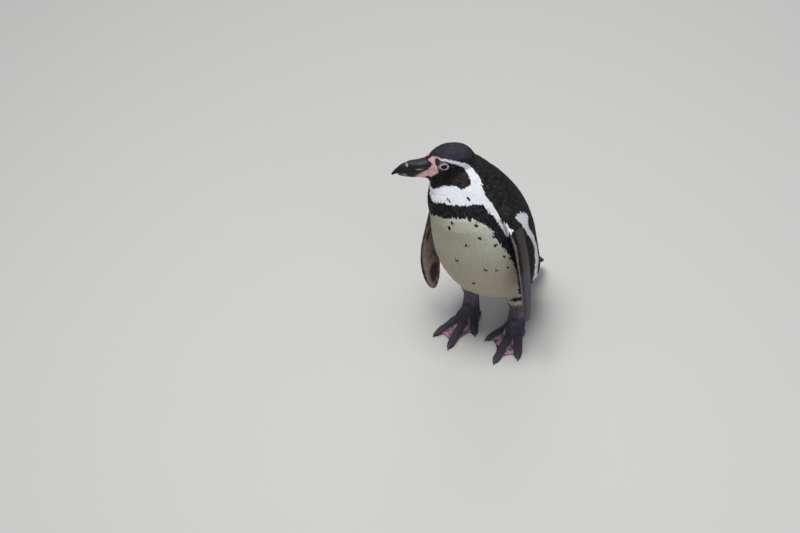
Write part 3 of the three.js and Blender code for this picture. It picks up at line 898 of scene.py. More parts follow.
def keep_outer_shell(skin):
    """Deletes all that isn't joined to the skin's topmost point."""
    top = int(np.argmax(places(skin.data)[:, 2]))
    select_only(skin)
    bpy.ops.object.mode_set(mode="EDIT")
    bpy.ops.mesh.select_all(action="DESELECT")
    bpy.ops.object.mode_set(mode="OBJECT")
    skin.data.vertices[top].select = True
    bpy.ops.object.mode_set(mode="EDIT")
    bpy.ops.mesh.select_mode(type="VERT")
    bpy.ops.mesh.select_linked()
    bpy.ops.mesh.select_all(action="INVERT")
    bpy.ops.mesh.delete(type="VERT")
    bpy.ops.object.mode_set(mode="OBJECT")


def smooth_skin(skin, codes):
    """Evens out the seams where the nodes meet, most of all on the plump parts."""
    for name, regions, rounds in SMOOTHING:
        vertex_group(skin, name, np.isin(codes, list(regions)))
        add_smooth(skin, name, rounds, name)
    apply_all(skin)


def sink_skin(skin, codes):
    """Moves the skin in by the coat's depth, less on bare skin."""
    points = places(skin.data)
    bird = in_bird(points)
    ahead, _, height = in_head(bird)
    on_head = codes == HEAD
    depth = COAT_DEPTH[codes]
    depth = np.where(np.isin(codes, [LEG_L, LEG_R]) & (height < BARE_SHIN), 0.0, depth)
    depth = np.where(on_head & (ahead > FACE_START), FACE_DEPTH, depth)
    depth = np.where(is_bare(bird), BARE_DEPTH, depth)
    depth = np.where(on_head & (ahead > BILL_START), BARE_DEPTH, depth)
    depth = eased(depth, edges_of(skin.data), 6)
    near_eye = np.minimum(*[
        np.linalg.norm(points - np.array(eye), axis=1) for eye in EYES.values()])
    depth = np.where(near_eye < (LID_OVER + LID_ZONE) * MM, 0.0, depth)
    depth = eased(depth, edges_of(skin.data), 2)
    points = points - normals(skin.data) * (depth + OVERLAP)[:, None] * MM
    low = points[:, 2] < ORIGIN.z + SOLE_DEPTH * MM
    points[low, 2] = ORIGIN.z + SOLE * MM
    set_places(skin.data, points)


def fold_belly(skin):
    """A shallow upright crease low on the belly."""
    points = places(skin.data)
    degrees, height = round_body(in_bird(points))
    off = (degrees - along(CREASE, height)) * 1.2
    near = hump(off, 3.5) * step(*CREASE_LOW, height) * step(*CREASE_TOP, height)
    set_places(skin.data, points - normals(skin.data) * (CREASE_DEPTH * near)[:, None] * MM)


def thin_out(skin, codes):
    """Fewer faces where feathers hide the skin."""
    ahead, _, height = in_head(in_bird(places(skin.data)))
    hidden = np.isin(codes, [NECK, TRUNK, TAIL, FLIPPER_L, FLIPPER_R])
    hidden |= (codes == HEAD) & (ahead < THINNED_BEHIND)
    hidden |= np.isin(codes, [LEG_L, LEG_R]) & (height > BARE_SHIN + 4)
    vertex_group(skin, "hidden", hidden)
    fewer = skin.modifiers.new("fewer", "DECIMATE")
    fewer.ratio = THINNED
    fewer.vertex_group = "hidden"
    fewer.vertex_group_factor = 4
    apply_all(skin)


def subdivide_where(skin, chosen):
    """Splits the faces whose every corner is chosen."""
    select_only(skin)
    bpy.ops.object.mode_set(mode="EDIT")
    bpy.ops.mesh.select_mode(type="VERT")
    bpy.ops.mesh.select_all(action="DESELECT")
    bpy.ops.object.mode_set(mode="OBJECT")
    skin.data.vertices.foreach_set("select", chosen)
    bpy.ops.object.mode_set(mode="EDIT")
    bpy.ops.mesh.select_mode(type="FACE")
    bpy.ops.mesh.subdivide(number_cuts=1, smoothness=0)
    bpy.ops.mesh.quads_convert_to_tris()
    bpy.ops.object.mode_set(mode="OBJECT")


FACE_BACK = -9  # the face's skin is finer ahead of this
FACE_LOW = 364
FINE_ROUND_EYE = 12.0


def from_eye(side, points):
    """Millimetres from an eye's middle: all three ways, ahead, outward, and straight."""
    off = (points - np.array(EYES[side])) / MM
    return off, off @ ahead_way, off @ left_way * SIDES[side], np.linalg.norm(off, axis=1)


def refine_face(skin):
    """Finer skin on the face, and finer still round the eyes, smoothed once more."""
    ahead, _, height = in_head(in_bird(places(skin.data)))
    subdivide_where(skin, (ahead > FACE_BACK) & (height > FACE_LOW))
    points = places(skin.data)
    near = np.zeros(len(points), bool)
    for side in EYES:
        _, _, outward, reach = from_eye(side, points)
        near |= (reach < FINE_ROUND_EYE) & (outward > 1)
    subdivide_where(skin, near)
    ahead, _, height = in_head(in_bird(places(skin.data)))
    vertex_group(skin, "face", (ahead > FACE_BACK) & (height > FACE_LOW + 2))
    add_smooth(skin, "face", 3, "face")
    apply_all(skin)


# The lids, by rings round the opening, where 1 is its edge.
RIM_RING = (1.17, 0.13)  # the rim's middle, and half its width
CREASE_RING = (1.48, 0.08)
LID_CREASE = -0.35
LID_EDGE = (0.93, 1.03)
LID_BLEND = (1.25, 1.6)
LIDS_END = 1.75
LIDS_REACH = 13
LID_CLEAR = 0.3  # the lids lie this far over the ball
UNDER_BALL = -1.6  # and the skin behind the opening this far inside it


def shape_lids(skin):
    """Opens the lids over each eyeball and raises a rounded rim round the opening."""
    points = places(skin.data)
    ball = EYE_RADIUS / MM
    for side, eye in EYES.items():
        off, ahead, outward, reach = from_eye(side, points)
        ring = np.hypot(ahead / LID_SIZE[0], off[:, 2] / LID_SIZE[1])
        near = (outward > 1.5) & (ring < LIDS_END) & (reach < LIDS_REACH)
        rim = LID_RIM * hump(ring - RIM_RING[0], RIM_RING[1])
        crease = LID_CREASE * hump(ring - CREASE_RING[0], CREASE_RING[1])
        edge = step(*LID_EDGE, ring)
        radius = (ball + UNDER_BALL) * (1 - edge) + (ball + LID_CLEAR) * edge + rim
        blend = 1 - step(*LID_BLEND, ring)
        radius = radius * blend + (reach + crease) * (1 - blend)
        least = reach * (1 - blend) + radius * blend
        radius = np.where(ring > LID_BLEND[0], np.maximum(radius, least), radius)
        moved = np.array(eye) + off * (radius / np.maximum(reach, 1e-6))[:, None] * MM
        points = np.where(near[:, None], moved, points)
    set_places(skin.data, points)


def shape_feet(skin, codes):
    """Knuckles and cross folds along each toe."""
    points = places(skin.data)
    out = normals(skin.data)
    bird = in_bird(points)
    for name, code in (("left", FOOT_L), ("right", FOOT_R)):
        reach, off, _ = on_toes(name, bird)
        on_toe = (codes == code) & (off < 1.2) & (reach > 6)
        upper = step(-0.2, 0.3, out[:, 2]) * (1 - step(0.75, 1.15, off)) * on_toe
        folds = FOLD_RISE * (np.abs(np.sin(math.pi * reach / FOLD_EVERY)) ** 0.6 - 0.6)
        bulge = np.zeros(len(points))
        for share in KNUCKLES:
            middle = share * (TOES["middle"] - TOE_ROOT)
            bulge += KNUCKLE_RISE * hump(reach - middle, KNUCKLE_HALF)
        points = points + out * ((folds + bulge) * upper)[:, None] * MM
    points[:, 2] = np.maximum(points[:, 2], ORIGIN.z + SOLE * MM)
    set_places(skin.data, points)


def store_tints(piece, tints):
    """Keeps each vertex's colour on the piece, for its material to read."""
    layer = piece.data.color_attributes.new("tint", "FLOAT_COLOR", "POINT")
    full = np.ones((len(tints), 4), dtype=np.float32)
    full[:, :3] = tints
    layer.data.foreach_set("color", full.ravel())


def tints_at(bird, codes, facing, ragged):
    """Colours for skin or feathers at places on each part of the bird."""
    tints = body_tints(bird, ragged)
    legs = np.isin(codes, [LEG_L, LEG_R])
    tints[legs] = leg_tints(bird[legs] + ragged[legs])
    sides = (("left", FLIPPER_L, FOOT_L), ("right", FLIPPER_R, FOOT_R))
    for name, flipper, foot in sides:
        on = codes == flipper
        tints[on] = flipper_tints(name, bird[on], facing[on], ragged[on])
        on = codes == foot
        tints[on] = foot_tints(name, bird[on])
    return tints


def unwrap(piece):
    """An unwrap of the skin's own shape, which the feathers' patches share."""
    select_only(piece)
    bpy.ops.object.mode_set(mode="EDIT")
    bpy.ops.mesh.select_all(action="SELECT")
    bpy.ops.mesh.quads_convert_to_tris()
    bpy.ops.uv.smart_project(angle_limit=math.radians(70), island_margin=0.002)
    bpy.ops.object.mode_set(mode="OBJECT")
    bpy.ops.object.shade_smooth()
    piece.data.uv_layers[0].name = "OFBake"


skin = cast_skin()
codes = codes_at(places(skin.data))
smooth_skin(skin, codes)
sink_skin(skin, codes)
fold_belly(skin)
thin_out(skin, codes)
refine_face(skin)
codes = codes_at(places(skin.data))
shape_lids(skin)
shape_feet(skin, codes)
unwrap(skin)
skin_points = places(skin.data)
skin_normals = normals(skin.data)
skin_corners = corners_of(skin.data)
still = np.zeros_like(skin_points)
store_tints(skin, tints_at(in_bird(skin_points), codes, skin_normals, still))
skin_map = np.empty(len(skin.data.loops) * 2)
skin.data.uv_layers["OFBake"].data.foreach_get("uv", skin_map)
skin_map = skin_map.reshape(-1, 3, 2)
skin_tree = BVHTree.FromPolygons(skin_points.tolist(), skin_corners.tolist())


def on_skin(points):
    """The nearest places on the skin: where, which way is out, which face, and corner shares."""
    found = [skin_tree.find_nearest(point) for point in points.tolist()]
    where = np.array([hit[0][:] for hit in found])
    face = np.array([hit[2] for hit in found])
    a, b, c = (skin_points[skin_corners[face, k]] for k in range(3))
    flat = np.cross(b - a, c - a)
    area = np.maximum((flat * flat).sum(1), 1e-24)
    share_b = (np.cross(where - a, c - a) * flat).sum(1) / area
    share_c = (np.cross(b - a, where - a) * flat).sum(1) / area
    shares = np.clip(np.stack([1 - share_b - share_c, share_b, share_c], 1), 0, 1)
    out = unit((skin_normals[skin_corners[face]] * shares[:, :, None]).sum(1))
    return where, out, face, shares


# ---- where feathers grow and which way they lie ---------------------------------------------


def place_tree():
    """Nodes that strew points over the faces marked "take", no nearer than a spacing."""
    tree = bpy.data.node_groups.new("feather_places", "GeometryNodeTree")
    tree.interface.new_socket("Geometry", in_out="INPUT", socket_type="NodeSocketGeometry")
    tree.interface.new_socket("Geometry", in_out="OUTPUT", socket_type="NodeSocketGeometry")
    start = tree.nodes.new("NodeGroupInput")
    end = tree.nodes.new("NodeGroupOutput")
    take = tree.nodes.new("GeometryNodeInputNamedAttribute")
    take.data_type = "BOOLEAN"
    take.inputs["Name"].default_value = "take"
    strew = tree.nodes.new("GeometryNodeDistributePointsOnFaces")
    strew.name = "strew"
    strew.distribute_method = "POISSON"
    solid = tree.nodes.new("GeometryNodePointsToVertices")
    tree.links.new(start.outputs[0], strew.inputs["Mesh"])
    tree.links.new(take.outputs["Attribute"], strew.inputs["Selection"])
    tree.links.new(strew.outputs["Points"], solid.inputs["Points"])
    tree.links.new(solid.outputs[0], end.inputs[0])
    return tree


PLACES = place_tree()


def strewn(take, spacing, seed):
    """Places in metres on the chosen faces of the skin, spacing millimetres apart or more."""
    probe = skin.copy()
    probe.data = skin.data.copy()
    bpy.context.scene.collection.objects.link(probe)
    layer = probe.data.attributes.new("take", "BOOLEAN", "FACE")
    layer.data.foreach_set("value", take)
    strew = PLACES.nodes["strew"]
    strew.inputs["Distance Min"].default_value = spacing * MM
    strew.inputs["Density Max"].default_value = 6.0 / (spacing * MM) ** 2
    strew.inputs["Seed"].default_value = seed
    modifier = probe.modifiers.new("places", "NODES")
    modifier.node_group = PLACES
    apply_all(probe)
    points = places(probe.data)
    bpy.data.objects.remove(probe)
    return points


TAIL_WAY = np.array((0, 0.787, -0.617))
TAIL_OUT = np.array((0, 0.617, 0.787))
DOWN = np.array((0, 0, -1.0))
BILL_ROOT = np.array(HEAD_OVER_FEET) / MM + ahead_way * 34 + DOWN * 7
NECK_TO_HEAD = (338, 366)
SHIN_TO_FOOT = (16, 26)
NAPE_START = 12  # millimetres behind the eyes
spine_runs = unit(np.diff(np.array([row[1:3] + row[:1] for row in SPINE], float), axis=0) * -1)
spine_mids = (np.array(SPINE_Z[1:]) + np.array(SPINE_Z[:-1])) / 2


def lie_of(bird, codes):
    """The way that feathers lie: down the body, back from the bill, and out along each limb."""
    way = np.stack([np.interp(bird[:, 2], spine_mids, spine_runs[:, k]) for k in range(3)], 1)
    ahead, _, height = in_head(bird)
    from_bill = unit(bird - BILL_ROOT)
    nape = np.clip((-ahead - NAPE_START) / 26, 0, 1.3)
    from_bill[:, 2] -= nape * 0.9
    head = step(*NECK_TO_HEAD, height)[:, None] * np.isin(codes, [HEAD, NECK])[:, None]
    way = way * (1 - head) + unit(from_bill) * head
    way[codes == TAIL] = TAIL_WAY
    legs = np.isin(codes, [LEG_L, LEG_R])
    way[legs] = way[legs] * 0.25 + DOWN
    for name, flipper, foot in (("left", FLIPPER_L, FOOT_L), ("right", FLIPPER_R, FOOT_R)):
        on = codes == flipper
        _, _, line = on_flipper(name, bird[on])
        way[on] = line + np.array(FLIPPERS[name]["trail"]) * 0.22
        on = codes == foot
        _, _, heading = on_toes(name, bird[on])
        down = step(*SHIN_TO_FOOT, bird[on, 2])[:, None]
        way[on] = heading * (1 - down) + DOWN * down
    return unit(way)


# ---- feathers as closed blades that follow the skin -----------------------------------------
PATCH = 0.003  # width of a blade's patch on the bake map
BLADE_PLAN = [(0.0, 0.5), (0.5, 1.0), (0.86, 0.72)]  # share along, share of width
SEEN_FROM = 0.8  # a blade has the colour of the place under this share of its length
ROOT_SUNK = 0.12
CAMBER = 0.07  # rise of the shaft, as a share of the width
SHAFT = 0.05


def lay_feathers(roots, codes, length, width, lift, plan=BLADE_PLAN, sway=8.0):
    """Blades from roots along the lie. Sizes are in millimetres, one for each root."""
    count = len(roots)
    where, out, face, shares = on_skin(roots)
    uv = (skin_map[face] * shares[:, :, None]).sum(1)
    turn = np.radians(rng.normal(0, sway, count))
    length = length * rng.uniform(0.86, 1.14, count)
    width = width * rng.uniform(0.9, 1.12, count)
    lift = lift * rng.uniform(0.85, 1.2, count)
    way = lie_of(in_bird(where), codes)
    way = unit(way - (way * out).sum(1)[:, None] * out)
    side = np.cross(way, out)
    way = way * np.cos(turn)[:, None] + side * np.sin(turn)[:, None]
    rings = []
    share_before = 0.0
    for share, wide in plan + [(1.0, 0.0)]:
        ahead = where + way * (length * (share - share_before))[:, None] * MM
        where, out, _, _ = on_skin(ahead)
        way = unit(way - (way * out).sum(1)[:, None] * out)
        side = np.cross(way, out)
        rise = lift * (0.1 + 0.9 * share ** 1.15) - ROOT_SUNK
        middle = where + out * rise[:, None] * MM
        if share == 1.0:
            rings.append(middle[:, None])
            break
        half = side * (width * wide / 2)[:, None] * MM
        camber = out * (CAMBER * width * wide + SHAFT)[:, None] * MM
        rings.append(np.stack([middle - half, middle + camber, middle + half], 1))
        if share >= SEEN_FROM and share_before < SEEN_FROM:
            seen = where
            seen_out = out
        share_before = share
    points = np.concatenate(rings, 1)
    points[:, :, 2] = np.maximum(points[:, :, 2], ORIGIN.z + SOLE * MM)
    return {"points": points, "uv": uv, "seen": seen, "out": seen_out, "codes": codes}


def blade_faces(steps):
    """Faces of one blade with three corners at each of its steps, closed at root and tip."""
    faces = [(0, 2, 1)]
    for k in range(steps - 1):
        low, high = 3 * k, 3 * k + 3
        for j in range(3):
            n = (j + 1) % 3
            faces.append((low + j, low + n, high + n))
            faces.append((low + j, high + n, high + j))
    last, tip = 3 * steps - 3, 3 * steps
    faces += [(last + j, last + (j + 1) % 3, tip) for j in range(3)]
    return np.array(faces)


def coat_piece(name, laid, chosen, tints, plan=BLADE_PLAN):
    """One joined mesh of all the chosen blades, with its colours and its two maps."""
    points = laid["points"][chosen]
    count, per = points.shape[:2]
    faces = blade_faces(len(plan))
    corners = (faces[None] + (np.arange(count) * per)[:, None, None]).reshape(-1)
    mesh = bpy.data.meshes.new(name)
    mesh.vertices.add(count * per)
    mesh.vertices.foreach_set("co", points.reshape(-1))
    mesh.loops.add(len(corners))
    mesh.loops.foreach_set("vertex_index", corners)
    mesh.polygons.add(len(corners) // 3)
    mesh.polygons.foreach_set("loop_start", np.arange(0, len(corners), 3))
    across = np.array([0.0, 0.5, 1.0] * len(plan) + [0.5])
    share = np.array([stop[0] for stop in plan for _ in range(3)] + [1.0])
    vane = np.stack([across, share], 1)
    patch = laid["uv"][chosen][:, None] + (vane[None] - 0.5) * PATCH
    bake = mesh.uv_layers.new(name="OFBake")
    bake.data.foreach_set("uv", patch.reshape(-1, 2)[corners].reshape(-1))
    blade = mesh.uv_layers.new(name="vane")
    blade.data.foreach_set("uv", vane[corners % per].reshape(-1))
    mesh.update(calc_edges=True)
    mesh.validate()
    piece = bpy.data.objects.new(name, mesh)
    bpy.context.scene.collection.objects.link(piece)
    store_tints(piece, np.repeat(tints[chosen], per, axis=0))
    select_only(piece)
    bpy.ops.object.shade_smooth_by_angle(angle=math.radians(50))
    return piece


MIDDLES = in_bird(skin_points[skin_corners].mean(1))
FACE_CODES = codes[skin_corners[:, 0]]
coat = []


DARK_UNDER = (0.02, 0.1)  # feathers darker than this have grey ones among them
GREY_MOST = 0.5
UNEVEN = 0.05


def feather(name, take, spacing, length, width, lift, seed, split=None, plan=BLADE_PLAN,
            ragged=1.1, sway=8.0):
    """Strews, lays and colours one part of the coat. Sizes may be numbers or rules of place."""
    roots = strewn(take, spacing, seed)
    _, _, face, _ = on_skin(roots)
    codes = FACE_CODES[face]
    bird = in_bird(roots)
    sizes = [np.broadcast_to(size(bird) if callable(size) else size, len(roots))
             for size in (length, width, lift)]
    laid = lay_feathers(roots, codes, *sizes, plan=plan, sway=sway)
    shift = rng.normal(0, ragged, (len(roots), 3))
    tints = tints_at(in_bird(laid["seen"]), codes, laid["out"], shift)
    dark = 1 - step(*DARK_UNDER, tints.max(1))
    clumps = rng.normal(0.05, 0.15, len(roots)) + 0.15 * rippled(bird, 6, 51)
    tints = mixed(tints, FEATHER_GREY, dark * np.clip(clumps, 0, GREY_MOST))
    tints = np.clip(tints * rng.normal(1, UNEVEN, len(roots))[:, None], 0, 1)
    groups = split(bird) if split else {name: np.ones(len(roots), bool)}
    clear = ~is_bare(in_bird(laid["points"][:, -1])) & ~is_bare(in_bird(laid["seen"]))
    for piece_name, chosen in groups.items():
        coat.append(coat_piece(piece_name, laid, chosen & clear, tints, plan))


ON_HEAD = (FACE_CODES == HEAD) & ~is_bare(MIDDLES)
ON_BODY = np.isin(FACE_CODES, [NECK, TRUNK])
ON_TAIL = FACE_CODES == TAIL
ON_LEG = np.isin(FACE_CODES, [LEG_L, LEG_R]) & (MIDDLES[:, 2] > BARE_SHIN - 1)


NECK_BASE = 300
BELLY_START = 170
FRONT_HALF = 75  # degrees
FACE_END = -14


def body_parts(bird):
    """Which piece of the body's coat each feather is part of."""
    degrees, height = round_body(bird)
    front = np.abs(degrees) < FRONT_HALF
    left = degrees > 0
    neck = height > NECK_BASE
    low = height < BELLY_START
    return {
        "coat_neck_front": neck & front,
        "coat_neck_back": neck & ~front,
        "coat_breast_left": ~neck & ~low & front & left,
        "coat_breast_right": ~neck & ~low & front & ~left,
        "coat_back_left": ~neck & ~low & ~front & left,
        "coat_back_right": ~neck & ~low & ~front & ~left,
        "coat_belly": low & front,
        "coat_rump": low & ~front,
    }


def head_parts(bird):
    """Which piece of the head's coat each feather is part of."""
    ahead, _, _ = in_head(bird)
    return {"coat_face": ahead > FACE_END, "coat_crown": ahead <= FACE_END}


def face_or_crown(least, more, front, back):
    """A size that is least before front and grows by more from there to back."""
    return lambda bird: least + more * step(front, back, in_head(bird)[0])


def neck_or_body(high, low):
    """A size that grows from the neck down to the trunk."""
    return lambda bird: high + (low - high) * step(345, 285, bird[:, 2])


feather("coat_body", ON_BODY, spacing=1.48, length=neck_or_body(7.2, 8.8),
        width=neck_or_body(2.1, 2.6), lift=neck_or_body(1.9, 2.4), seed=1, split=body_parts,
        ragged=0.8)
feather("coat_head", ON_HEAD, spacing=1.2, length=face_or_crown(2.6, 5.4, 24, -30),
        width=face_or_crown(1.2, 1.0, 24, -34), lift=face_or_crown(0.5, 1.0, 14, -18), seed=2,
        split=head_parts, ragged=0.5, sway=6)


def flipper_width(name):
    """Narrow feathers along a flipper's rim, broader ones on its faces."""
    return lambda bird: 2.2 - 1.0 * step(0.7, 0.9, np.abs(across_flipper(name, bird)))


FLIPPER_PLAN = [(0.0, 0.6), (0.5, 1.0), (0.82, 0.8)]
for name, code in (("left", FLIPPER_L), ("right", FLIPPER_R)):
    feather("coat_flipper_" + name, FACE_CODES == code, spacing=1.5, length=4.2,
            width=flipper_width(name), lift=0.85, seed=3, plan=FLIPPER_PLAN, ragged=0.6)
feather("coat_legs", ON_LEG, spacing=1.9, length=7.5, width=2.8, lift=1.6, seed=5)
feather("coat_tail", ON_TAIL, spacing=2.4, length=12, width=4.4, lift=1.4, seed=6)

# ---- scales on the feet ---------------------------------------------------------------------
SCALE_PLAN = [(0.0, 0.8), (0.45, 1.0), (0.85, 0.85)]
SCALES_FROM = 1.2
NOT_SOLE = (skin_normals[skin_corners].mean(1)[:, 2] > -0.35) & (MIDDLES[:, 2] > SCALES_FROM)
for name, code in (("left", FOOT_L), ("right", FOOT_R)):
    feather("foot_scales_" + name, (FACE_CODES == code) & NOT_SOLE, spacing=1.7, length=2.3,
            width=2.2, lift=0.34, seed=8, plan=SCALE_PLAN, ragged=0.5, sway=5)

# ---- tail quills ----------------------------------------------------------------------------
QUILLS = 13
QUILL_PLAN = [
    (0.0, 0.5), (0.15, 0.9), (0.35, 1.0), (0.55, 1.0), (0.72, 0.95), (0.86, 0.8), (0.95, 0.5),
]
QUILL_ROOT = np.array((0, 131, 84))  # the middle quill's, in the middle of the tail
QUILL_START = 8
QUILL_STEP = 10  # how much further back the outermost ones start
QUILL_SPREAD = 24
QUILL_OUT = 8
QUILL_LONGEST = 78
QUILL_SHORTER = 16  # by this on the outside
QUILL_UNDER = 6  # and by this below
QUILL_WIDTH = 7.0
QUILL_LIFT = 1.7


def tail_quills():
    """Long stiff feathers side by side from the rump to the tail's tip, above and below."""
    starts, lengths = [], []
    for face_up in (1, -1):
        for share in (k / (QUILLS - 1) * 2 - 1 for k in range(QUILLS)):
            place = QUILL_ROOT + TAIL_WAY * (QUILL_START + QUILL_STEP * abs(share))
            place = place + np.array((share * QUILL_SPREAD, 0, 0))
            place = place + TAIL_OUT * face_up * QUILL_OUT
            starts.append(np.array(ORIGIN) + place * MM)
            under = QUILL_UNDER if face_up < 0 else 0
            lengths.append(QUILL_LONGEST - QUILL_SHORTER * abs(share) - under)
    starts = np.array(starts)
    count = len(starts)
    laid = lay_feathers(starts, np.full(count, TAIL), np.array(lengths), np.full(count, QUILL_WIDTH),
                        np.full(count, QUILL_LIFT), plan=QUILL_PLAN, sway=1.5)
    tints = np.tile(np.array(BACK) * 0.9, (count, 1))
    tints *= rng.uniform(0.8, 1.25, count)[:, None]
    coat.append(coat_piece("tail_quills", laid, np.ones(count, bool), tints, QUILL_PLAN))


tail_quills()

# ---- bill -----------------------------------------------------------------------------------
BILL_GRAIN = 0.55
MOUTH_LINE = [(20, 377), (42, 376.8), (56, 376), (69, 374.6), (79, 372.8), (85, 370.6)]
BILL_BLACK = linear(21, 20, 24)
# pale grey: the lower half's own mark, and the painted highlight on the upper half
BILL_MARK_AND_GLINT = linear(150, 158, 152)
BILL_VIOLET = linear(158, 154, 172)
BILL_DEEPER = 2.0
NOSTRIL = {"at": (45, 381.5), "size": (4.6, 0.9)}
# a painted highlight on the upper half
TOP_GLINT = {"at": (61.5, 385.3), "size": (2.4, 2.4), "fade": (0.4, 1.1)}
TOP_STREAK = {"at": (41, 378.7), "size": (8, 1.7), "fade": (0.3, 1.1)}
LOW_MARK = {"at": (67.5, 368.5), "size": (5.8, 4.4), "fade": (0.4, 1.15)}


def top_relief(ahead, height, mouth, sides):
    """Millimetres out, on the upper half: a groove, the lip's edge and the nostril's slit."""
    groove = mouth + 5.4 - 0.02 * (ahead - 30)
    push = -0.7 * hump(height - groove, 0.8) * sides * (1 - step(60, 74, ahead))
    push -= 0.25 * hump(height - (mouth + 1.6), 0.5) * sides
    slit = oval(**NOSTRIL, across=ahead, up=height)
    push -= 1.0 * (1 - step(0.6, 1.1, slit)) * sides
    return push + 0.3 * (1 - step(1.1, 1.9, slit)) * step(0.9, 1.2, slit) * sides


def low_relief(ahead, height, mouth, sides):
    """Millimetres out, on the lower half: one shallow groove."""
    groove = mouth - 5.0 + 0.05 * (ahead - 30)
    return -0.35 * hump(height - groove, 0.6) * sides * (1 - step(56, 72, ahead))


def bill(node, name):
    """A smooth copy of one half of the bill, with grooves, the nostril and its own colours."""
    piece = merged_copy(node, name)
    cast(piece, BILL_GRAIN)
    add_smooth(piece, "soft", 7)
    apply_all(piece)
    points = places(piece.data)
    out = normals(piece.data)
    bird = in_bird(points)
    ahead, _, height = in_head(bird)
    mouth = along(MOUTH_LINE, ahead)
    deeper = step(36, 56, ahead) * step(82, 70, ahead)
    points[:, 2] += np.clip((height - mouth) / 10, -0.9, 1) * deeper * BILL_DEEPER * MM
    sides = step(0.25, 0.6, np.abs(out @ left_way))
    relief = top_relief if node == "bill_upper" else low_relief
    push = relief(ahead, height, mouth, sides)
    push += 0.05 * rippled(bird, 2.4, 41) * (1 - step(60, 80, ahead))
    set_places(piece.data, points + out * push[:, None] * MM)
    store_tints(piece, bill_tints(bird, ahead, height, node == "bill_upper"))
    bpy.ops.object.shade_smooth()
    return piece


def bill_tints(bird, ahead, height, upper):
    """Black horn with pale marks, a pale painted highlight on the upper half, and the fleshy base of
    the lower half, lightened with painted light.
    """
    tints = mixed(plain(BILL_BLACK, bird), BILL_VIOLET, np.clip(rippled(bird, 9, 42), 0, 1) * 0.03)
    if upper:
        # painted highlight on the upper half
        tints = mixed(tints, BILL_MARK_AND_GLINT, blot(**TOP_GLINT, across=ahead, up=height) * 0.9)
        return mixed(tints, BILL_VIOLET, blot(**TOP_STREAK, across=ahead, up=height) * 0.9)
    tints = mixed(tints, BILL_MARK_AND_GLINT, blot(**LOW_MARK, across=ahead, up=height) * 0.65)
    line = along(GAPE_LINE, ahead)
    fleshy = 1 - step(-1.0, 0.4, height - line)
    fleshy *= 1 - step(45, 47.5, ahead)
    # the fleshy base is lightened with painted light
    tints = mixed(tints, PINK_LOW_PAINTED_LIGHT, fleshy * 0.95)
    near = hump(height - line - 0.6, 2.3) * (1 - step(44, 52, ahead))
    return mixed(tints, GAPE, near * 0.8)


bill_upper = bill("bill_upper", "bill_top")
bill_lower = bill("bill_lower", "bill_bottom")

# ---- eyes and claws -------------------------------------------------------------------------
PUPIL = 2.8
IRIS = 4.6
GAZE_AHEAD = 0.12
CORNEA = 4.4  # how wide the clear bulge is
CORNEA_RISE = 0.35


def eyeball(side):
    """A ball with a low clear bulge in front, and the distance from its middle as "ring"."""
    select_only(skin)
    bpy.ops.mesh.primitive_uv_sphere_add(
        segments=48, ring_count=32, radius=EYE_RADIUS, location=EYES[side])
    ball = bpy.context.object
    ball.name = "eyeball_" + side
    ball.data.name = ball.name
    bpy.ops.object.transform_apply(location=True, rotation=True, scale=True)
    gaze = (TO_LEFT * SIDES[side] + AHEAD * GAZE_AHEAD).normalized()
    points = places(ball.data)
    gaze = np.array(gaze)
    off = points - np.array(EYES[side])
    outward = off @ gaze
    ring = np.linalg.norm(off - outward[:, None] * gaze, axis=1) / MM
    ring = np.where(outward > 0, ring, EYE_RADIUS / MM + 2)
    bulge = CORNEA_RISE * np.clip(1 - (ring / CORNEA) ** 2, 0, 1)
    set_places(ball.data, points + gaze * bulge[:, None] * MM)
    layer = ball.data.attributes.new("ring", "FLOAT", "POINT")
    layer.data.foreach_set("value", ring.astype(np.float32))
    bpy.ops.object.shade_smooth()
    return ball


def claw(node):
    """A rounded copy of one claw."""
    piece = merged_copy(node, node.replace("claw", "nail"))
    rounded = piece.modifiers.new("rounded", "SUBSURF")
    rounded.levels = 2
    rounded.render_levels = 2
    apply_all(piece)
    bpy.ops.object.shade_smooth()
    return piece


# ---- finishes -------------------------------------------------------------------------------


def new_group(name, inputs, outputs):
    group = bpy.data.node_groups.new(name, "ShaderNodeTree")
    for label, value in inputs.items():
        kind = "NodeSocketVector" if value is None else "NodeSocketFloat"
        socket = group.interface.new_socket(label, in_out="INPUT", socket_type=kind)
        if value is not None:
            socket.default_value = value
    for label in outputs:
        group.interface.new_socket(label, in_out="OUTPUT", socket_type="NodeSocketFloat")
    return group, group.nodes.new("NodeGroupInput"), group.nodes.new("NodeGroupOutput")


def maths(tree, operation, first, second=None, third=None, clamp=False):
    node = tree.nodes.new("ShaderNodeMath")
    node.operation = operation
    node.use_clamp = clamp
    for socket, value in zip(node.inputs, (first, second, third)):
        if value is None:
            continue
        if isinstance(value, (int, float)):
            socket.default_value = value
        else:
            tree.links.new(value, socket)
    return node.outputs[0]


